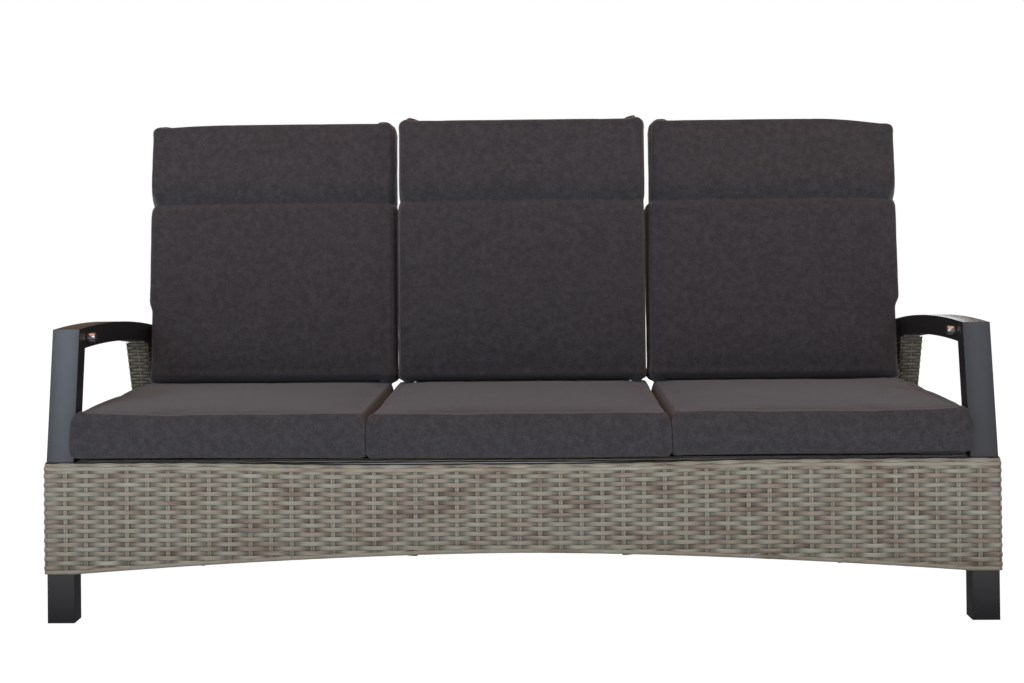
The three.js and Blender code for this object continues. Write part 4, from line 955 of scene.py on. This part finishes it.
POST_FRONT, BULGE = -0.3917, 0.004
LIP_BEGINS, LIP_DEPTH = -0.372, 0.015
LOWER_EDGE_ROUND = 0.013
REAR_CORNER_ROUND = 0.028
SEAT_LIP_RISE = {"left": 0.0040, "centre": 0.0040, "right": 0.0075}
SEAT_LIP_TILT = 0.0067
SEAT_FRONT_LIFT = {"left": 0.0072, "centre": 0.0045, "right": 0.0065}
SEAT_SIDE_LIFT = 0.0180
SEAT_UNEVENNESS = 0.0009
for name, side in (("left", -1), ("centre", 0), ("right", 1)):

    def settle_seat(p, low, high):
        # the top rises towards the outer side and the front edge
        p.z += SEAT_UNEVENNESS * noise.noise(Vector((p.x * 9, p.y * 9, side + 3.0)))
        middle, half = (low.x + high.x) / 2, (high.x - low.x) / 2
        outer = max(0, side * (p.x - middle) / half) ** 6 * (1 - 0.4 * eased(p.y / 0.05))
        forward = max(0, 1 - 2 * (p.y - low.y) / (high.y - low.y)) ** 6
        risen = SEAT_SIDE_LIFT * outer + SEAT_FRONT_LIFT[name] * forward * (1 - outer)
        p.z += risen * max(0, (p.z - low.z) / (high.z - low.z)) ** 2

        # the underside lifts off the rim at the front, and its side edges are rounded
        lip = SEAT_LIP_RISE[name] + SEAT_LIP_TILT * abs(p.x)
        lifted = lip * eased((LIP_BEGINS - p.y) / LIP_DEPTH)
        short = max(0, LOWER_EDGE_ROUND - max(0, min(p.x - low.x, high.x - p.x)))
        lifted += LOWER_EDGE_ROUND - math.sqrt(LOWER_EDGE_ROUND ** 2 - short ** 2)
        p.z = max(p.z, low.z + 0.0001 + lifted)

        # the rear corners are rounded, and the outer cushions bulge in front of the posts
        near_rear = max(0, REAR_CORNER_ROUND - (high.y - p.y))
        corner = REAR_CORNER_ROUND - math.sqrt(max(0, REAR_CORNER_ROUND ** 2 - near_rear ** 2))
        bulge = BULGE * min(1, max(0, (POST_FRONT - p.y) / BULGE))
        left = low.x - bulge if side < 0 else low.x + corner
        right = high.x + bulge if side > 0 else high.x - corner
        room = (right - middle) if p.x > middle else (middle - left)
        p.x = middle + (p.x - middle) * room / half
        p.x = min(max(p.x, left), right)
        p.y = min(p.y, high.y)

    seat = stuffed(
        f"{name}_seat_pad", f"{name}_seat_cushion", Matrix.Identity(4), settle_seat, 1,
    )
    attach(seat, "sofa_base")

# --- Back cushions ---
# Tall padded cushions on the woven backs, each drawn in by a sewn seam about two thirds of
# the way up, which parts the lumbar section from the head section. They are filled like the
# seats. The outer ones stand fuller above the arms, and their outer top corners drop.
SEAM_ABOVE_FOOT = 0.461
SEAM_DEPTH, STITCH_DEPTH = 0.007, 0.004
HEAD_FULLNESS, HEAD_FULLEST = 0.005, 0.055
BACK_CUSHION_LENGTH = 0.686
TOP_SPREAD, TOP_SHIFT = 0.005, 0.012
CORNERS = {"top": 0.030, "foot": 0.022, "outer_foot": 0.006}
ABOVE_SEAM = {
    ("left", 1): 0.0033, ("centre", -1): 0.004, ("centre", 1): 0.0085, ("right", -1): -0.0045,
}
BELOW_SEAM = {
    ("left", 1): 0.0049, ("centre", -1): 0.0049, ("centre", 1): 0.0052, ("right", -1): 0.0052,
}
BESIDE_ARM, ARM_SIDE = 0.0110, 0.3240
ARM_TOP_SHARE, ARM_TOP_EASE = 0.255, 0.05
ABOVE_ARM = {"left": 0.0190, "right": 0.0215}
TOP_DROP = {"left": (0.005, 0.008), "centre": (0.0072, 0), "right": (0.005, 0.021)}
for name, outward in (("left", -1), ("centre", 0), ("right", 1)):

    def side_at(way, share, half):
        """The solid's side, a little fuller: snug to its neighbour below the seam, apart above."""
        side = half + share * (TOP_SPREAD + way * outward * TOP_SHIFT)
        if way == outward:
            beside = min(side + BESIDE_ARM, ARM_SIDE)
            above_arm = eased((share - ARM_TOP_SHARE) / ARM_TOP_EASE)
            side = beside + (side + ABOVE_ARM[name] - beside) * above_arm
        else:
            above_seam = eased((share * BACK_CUSHION_LENGTH - SEAM_ABOVE_FOOT + 0.012) / 0.02)
            below, above = BELOW_SEAM[name, way], ABOVE_SEAM[name, way]
            side += below + (above - below) * above_seam
        foot = "outer_foot" if way == outward else "foot"
        radius = CORNERS["top" if share > 0.5 else foot]
        short = max(0, radius - min(share, 1 - share) * BACK_CUSHION_LENGTH)
        return side - radius + math.sqrt(max(0, radius ** 2 - short ** 2))

    def settle_back(p, low, high):
        """The solid leans out towards its top, so its box is wider than its foot by that."""
        box_half = (high.x - low.x) / 2
        half = box_half - TOP_SPREAD - (abs(outward) * TOP_SHIFT) / 2
        off = p.z - low.z - SEAM_ABOVE_FOOT
        share = min(1, max(0, (p.z - low.z) / (high.z - low.z)))
        behind = (p.y - low.y) / (high.y - low.y)
        box_middle = (low.x + high.x) / 2
        across = (p.x - box_middle) / box_half
        p.x = across * side_at(1 if across > 0 else -1, share, half)
        p.y += 0.001 * noise.noise(Vector((p.x * 8, p.z * 8, len(name))))
        if p.y < high.y - 0.02:
            p.y -= HEAD_FULLNESS * math.exp(-((off - HEAD_FULLEST) / 0.04) ** 2)
            p.y += SEAM_DEPTH * math.exp(-(off / 0.011) ** 2)
            p.y += STITCH_DEPTH * math.exp(-(off / 0.003) ** 2)
        near_side = eased((abs(across) - 0.8) / 0.15)
        recess = 0.003 * behind * near_side * eased((off + 0.01) / 0.02)
        p.x -= math.copysign(recess + 0.002 * math.exp(-(off / 0.008) ** 2), p.x)
        outer = max(0, across * outward - 0.3) / 0.7
        drop, outer_drop = TOP_DROP[name]
        p.z -= max(0, share - 0.8) / 0.2 * (drop + outer_drop * outer ** 2)
        p.y = min(p.y, high.y - 0.0001)

    pad = stuffed(
        f"{name}_back_pad", f"{name}_back_cushion", upright_to_place(name), settle_back, 2,
    )
    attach(pad, BACK_BODIES[name])

# --- Studio ---
# A pale floor that runs out to white, and broad soft lights: two cool ones from the front, the
# left one stronger, a warm one overhead, one from behind and a low weak one on each side. The
# floor and the world show white to the camera, but light the sofa less, the floor mostly in front.
bm = bmesh.new()
bmesh.ops.create_grid(bm, x_segments=1, y_segments=1, size=14)
floor_mesh = bpy.data.meshes.new("studio_floor")
bm.to_mesh(floor_mesh)
bm.free()
floor = bpy.data.objects.new("studio_floor", floor_mesh)
bpy.context.collection.objects.link(floor)
floor_finish = coated_finish("studio_floor", (0.10, 0.10, 0.10), 0.9)
floor_shader = floor_finish.node_tree.nodes["Principled BSDF"]
floor_shader.inputs["Emission Color"].default_value = (1, 1, 1, 1)
floor_shader.inputs["Specular IOR Level"].default_value = 0.0
floor_nodes, floor_links = floor_finish.node_tree.nodes, floor_finish.node_tree.links
floor_seen = floor_nodes.new("ShaderNodeLightPath")
floor_glow = floor_nodes.new("ShaderNodeMapRange")
floor_glow.inputs["To Max"].default_value = 1.0
floor_links.new(floor_seen.outputs["Is Camera Ray"], floor_glow.inputs["Value"])
floor_place = floor_nodes.new("ShaderNodeTexCoord")
floor_axes = floor_nodes.new("ShaderNodeSeparateXYZ")
# painted shadow and glow: to all rays but the camera's the floor glows dimly from just in front of
# the sofa backwards, and fully further in front
in_front = floor_nodes.new("ShaderNodeMapRange")
in_front.inputs["From Min"].default_value = -0.45
in_front.inputs["From Max"].default_value = -1.0
in_front.inputs["To Min"].default_value = 0.09
in_front.inputs["To Max"].default_value = 1.05
floor_links.new(floor_place.outputs["Object"], floor_axes.inputs["Vector"])
floor_links.new(floor_axes.outputs["Y"], in_front.inputs["Value"])
floor_links.new(in_front.outputs["Result"], floor_glow.inputs["To Min"])
floor_links.new(floor_glow.outputs["Result"], floor_shader.inputs["Emission Strength"])
floor_mesh.materials.append(floor_finish)

for name, place, aim, size, power, colour in (
    ("front_left_light", (-2.1, -3.9, 2.0), (-0.2, 0, 0.5), (2.0, 2.0), 76, (0.68, 0.81, 1.0)),
    ("front_right_light", (2.1, -3.9, 2.0), (0.2, 0, 0.5), (2.0, 2.0), 35, (0.68, 0.81, 1.0)),
    ("overhead_light", (0, -0.6, 3.4), (0, 0, 0.3), (4.2, 2.6), 33, (1.0, 0.47, 0.31)),
    ("rear_light", (0.5, 3.6, 2.2), (0, 0, 0.6), (3.0, 2.0), 95, (0.9, 0.95, 1.0)),
    ("left_side_light", (-3.8, 1.3, 0.75), (0, 0, 0.4), (2.0, 1.2), 30, (0.95, 0.97, 1.0)),
    ("right_side_light", (3.8, 1.3, 0.75), (0, 0, 0.4), (2.0, 1.2), 30, (0.95, 0.97, 1.0)),
):
    lamp = bpy.data.lights.new(name, "AREA")
    lamp.shape = "RECTANGLE"
    lamp.size, lamp.size_y = size
    lamp.energy = power
    lamp.color = colour
    light = bpy.data.objects.new(name, lamp)
    light.location = place
    light.rotation_euler = (Vector(aim) - Vector(place)).to_track_quat("-Z", "Y").to_euler()
    bpy.context.collection.objects.link(light)

world = bpy.data.worlds.new("studio_white")
bpy.context.scene.world = world
world.use_nodes = True
nodes, links = world.node_tree.nodes, world.node_tree.links
backdrop = nodes["Background"]
seen = nodes.new("ShaderNodeLightPath")
lit_by = nodes.new("ShaderNodeValToRGB")
lit_by.color_ramp.elements[0].color = (0.29, 0.21, 0.15, 1)
lit_by.color_ramp.elements[1].color = (1, 1, 1, 1)
links.new(seen.outputs["Is Camera Ray"], lit_by.inputs["Fac"])
links.new(lit_by.outputs["Color"], backdrop.inputs["Color"])
bpy.context.scene.view_settings.view_transform = "Standard"
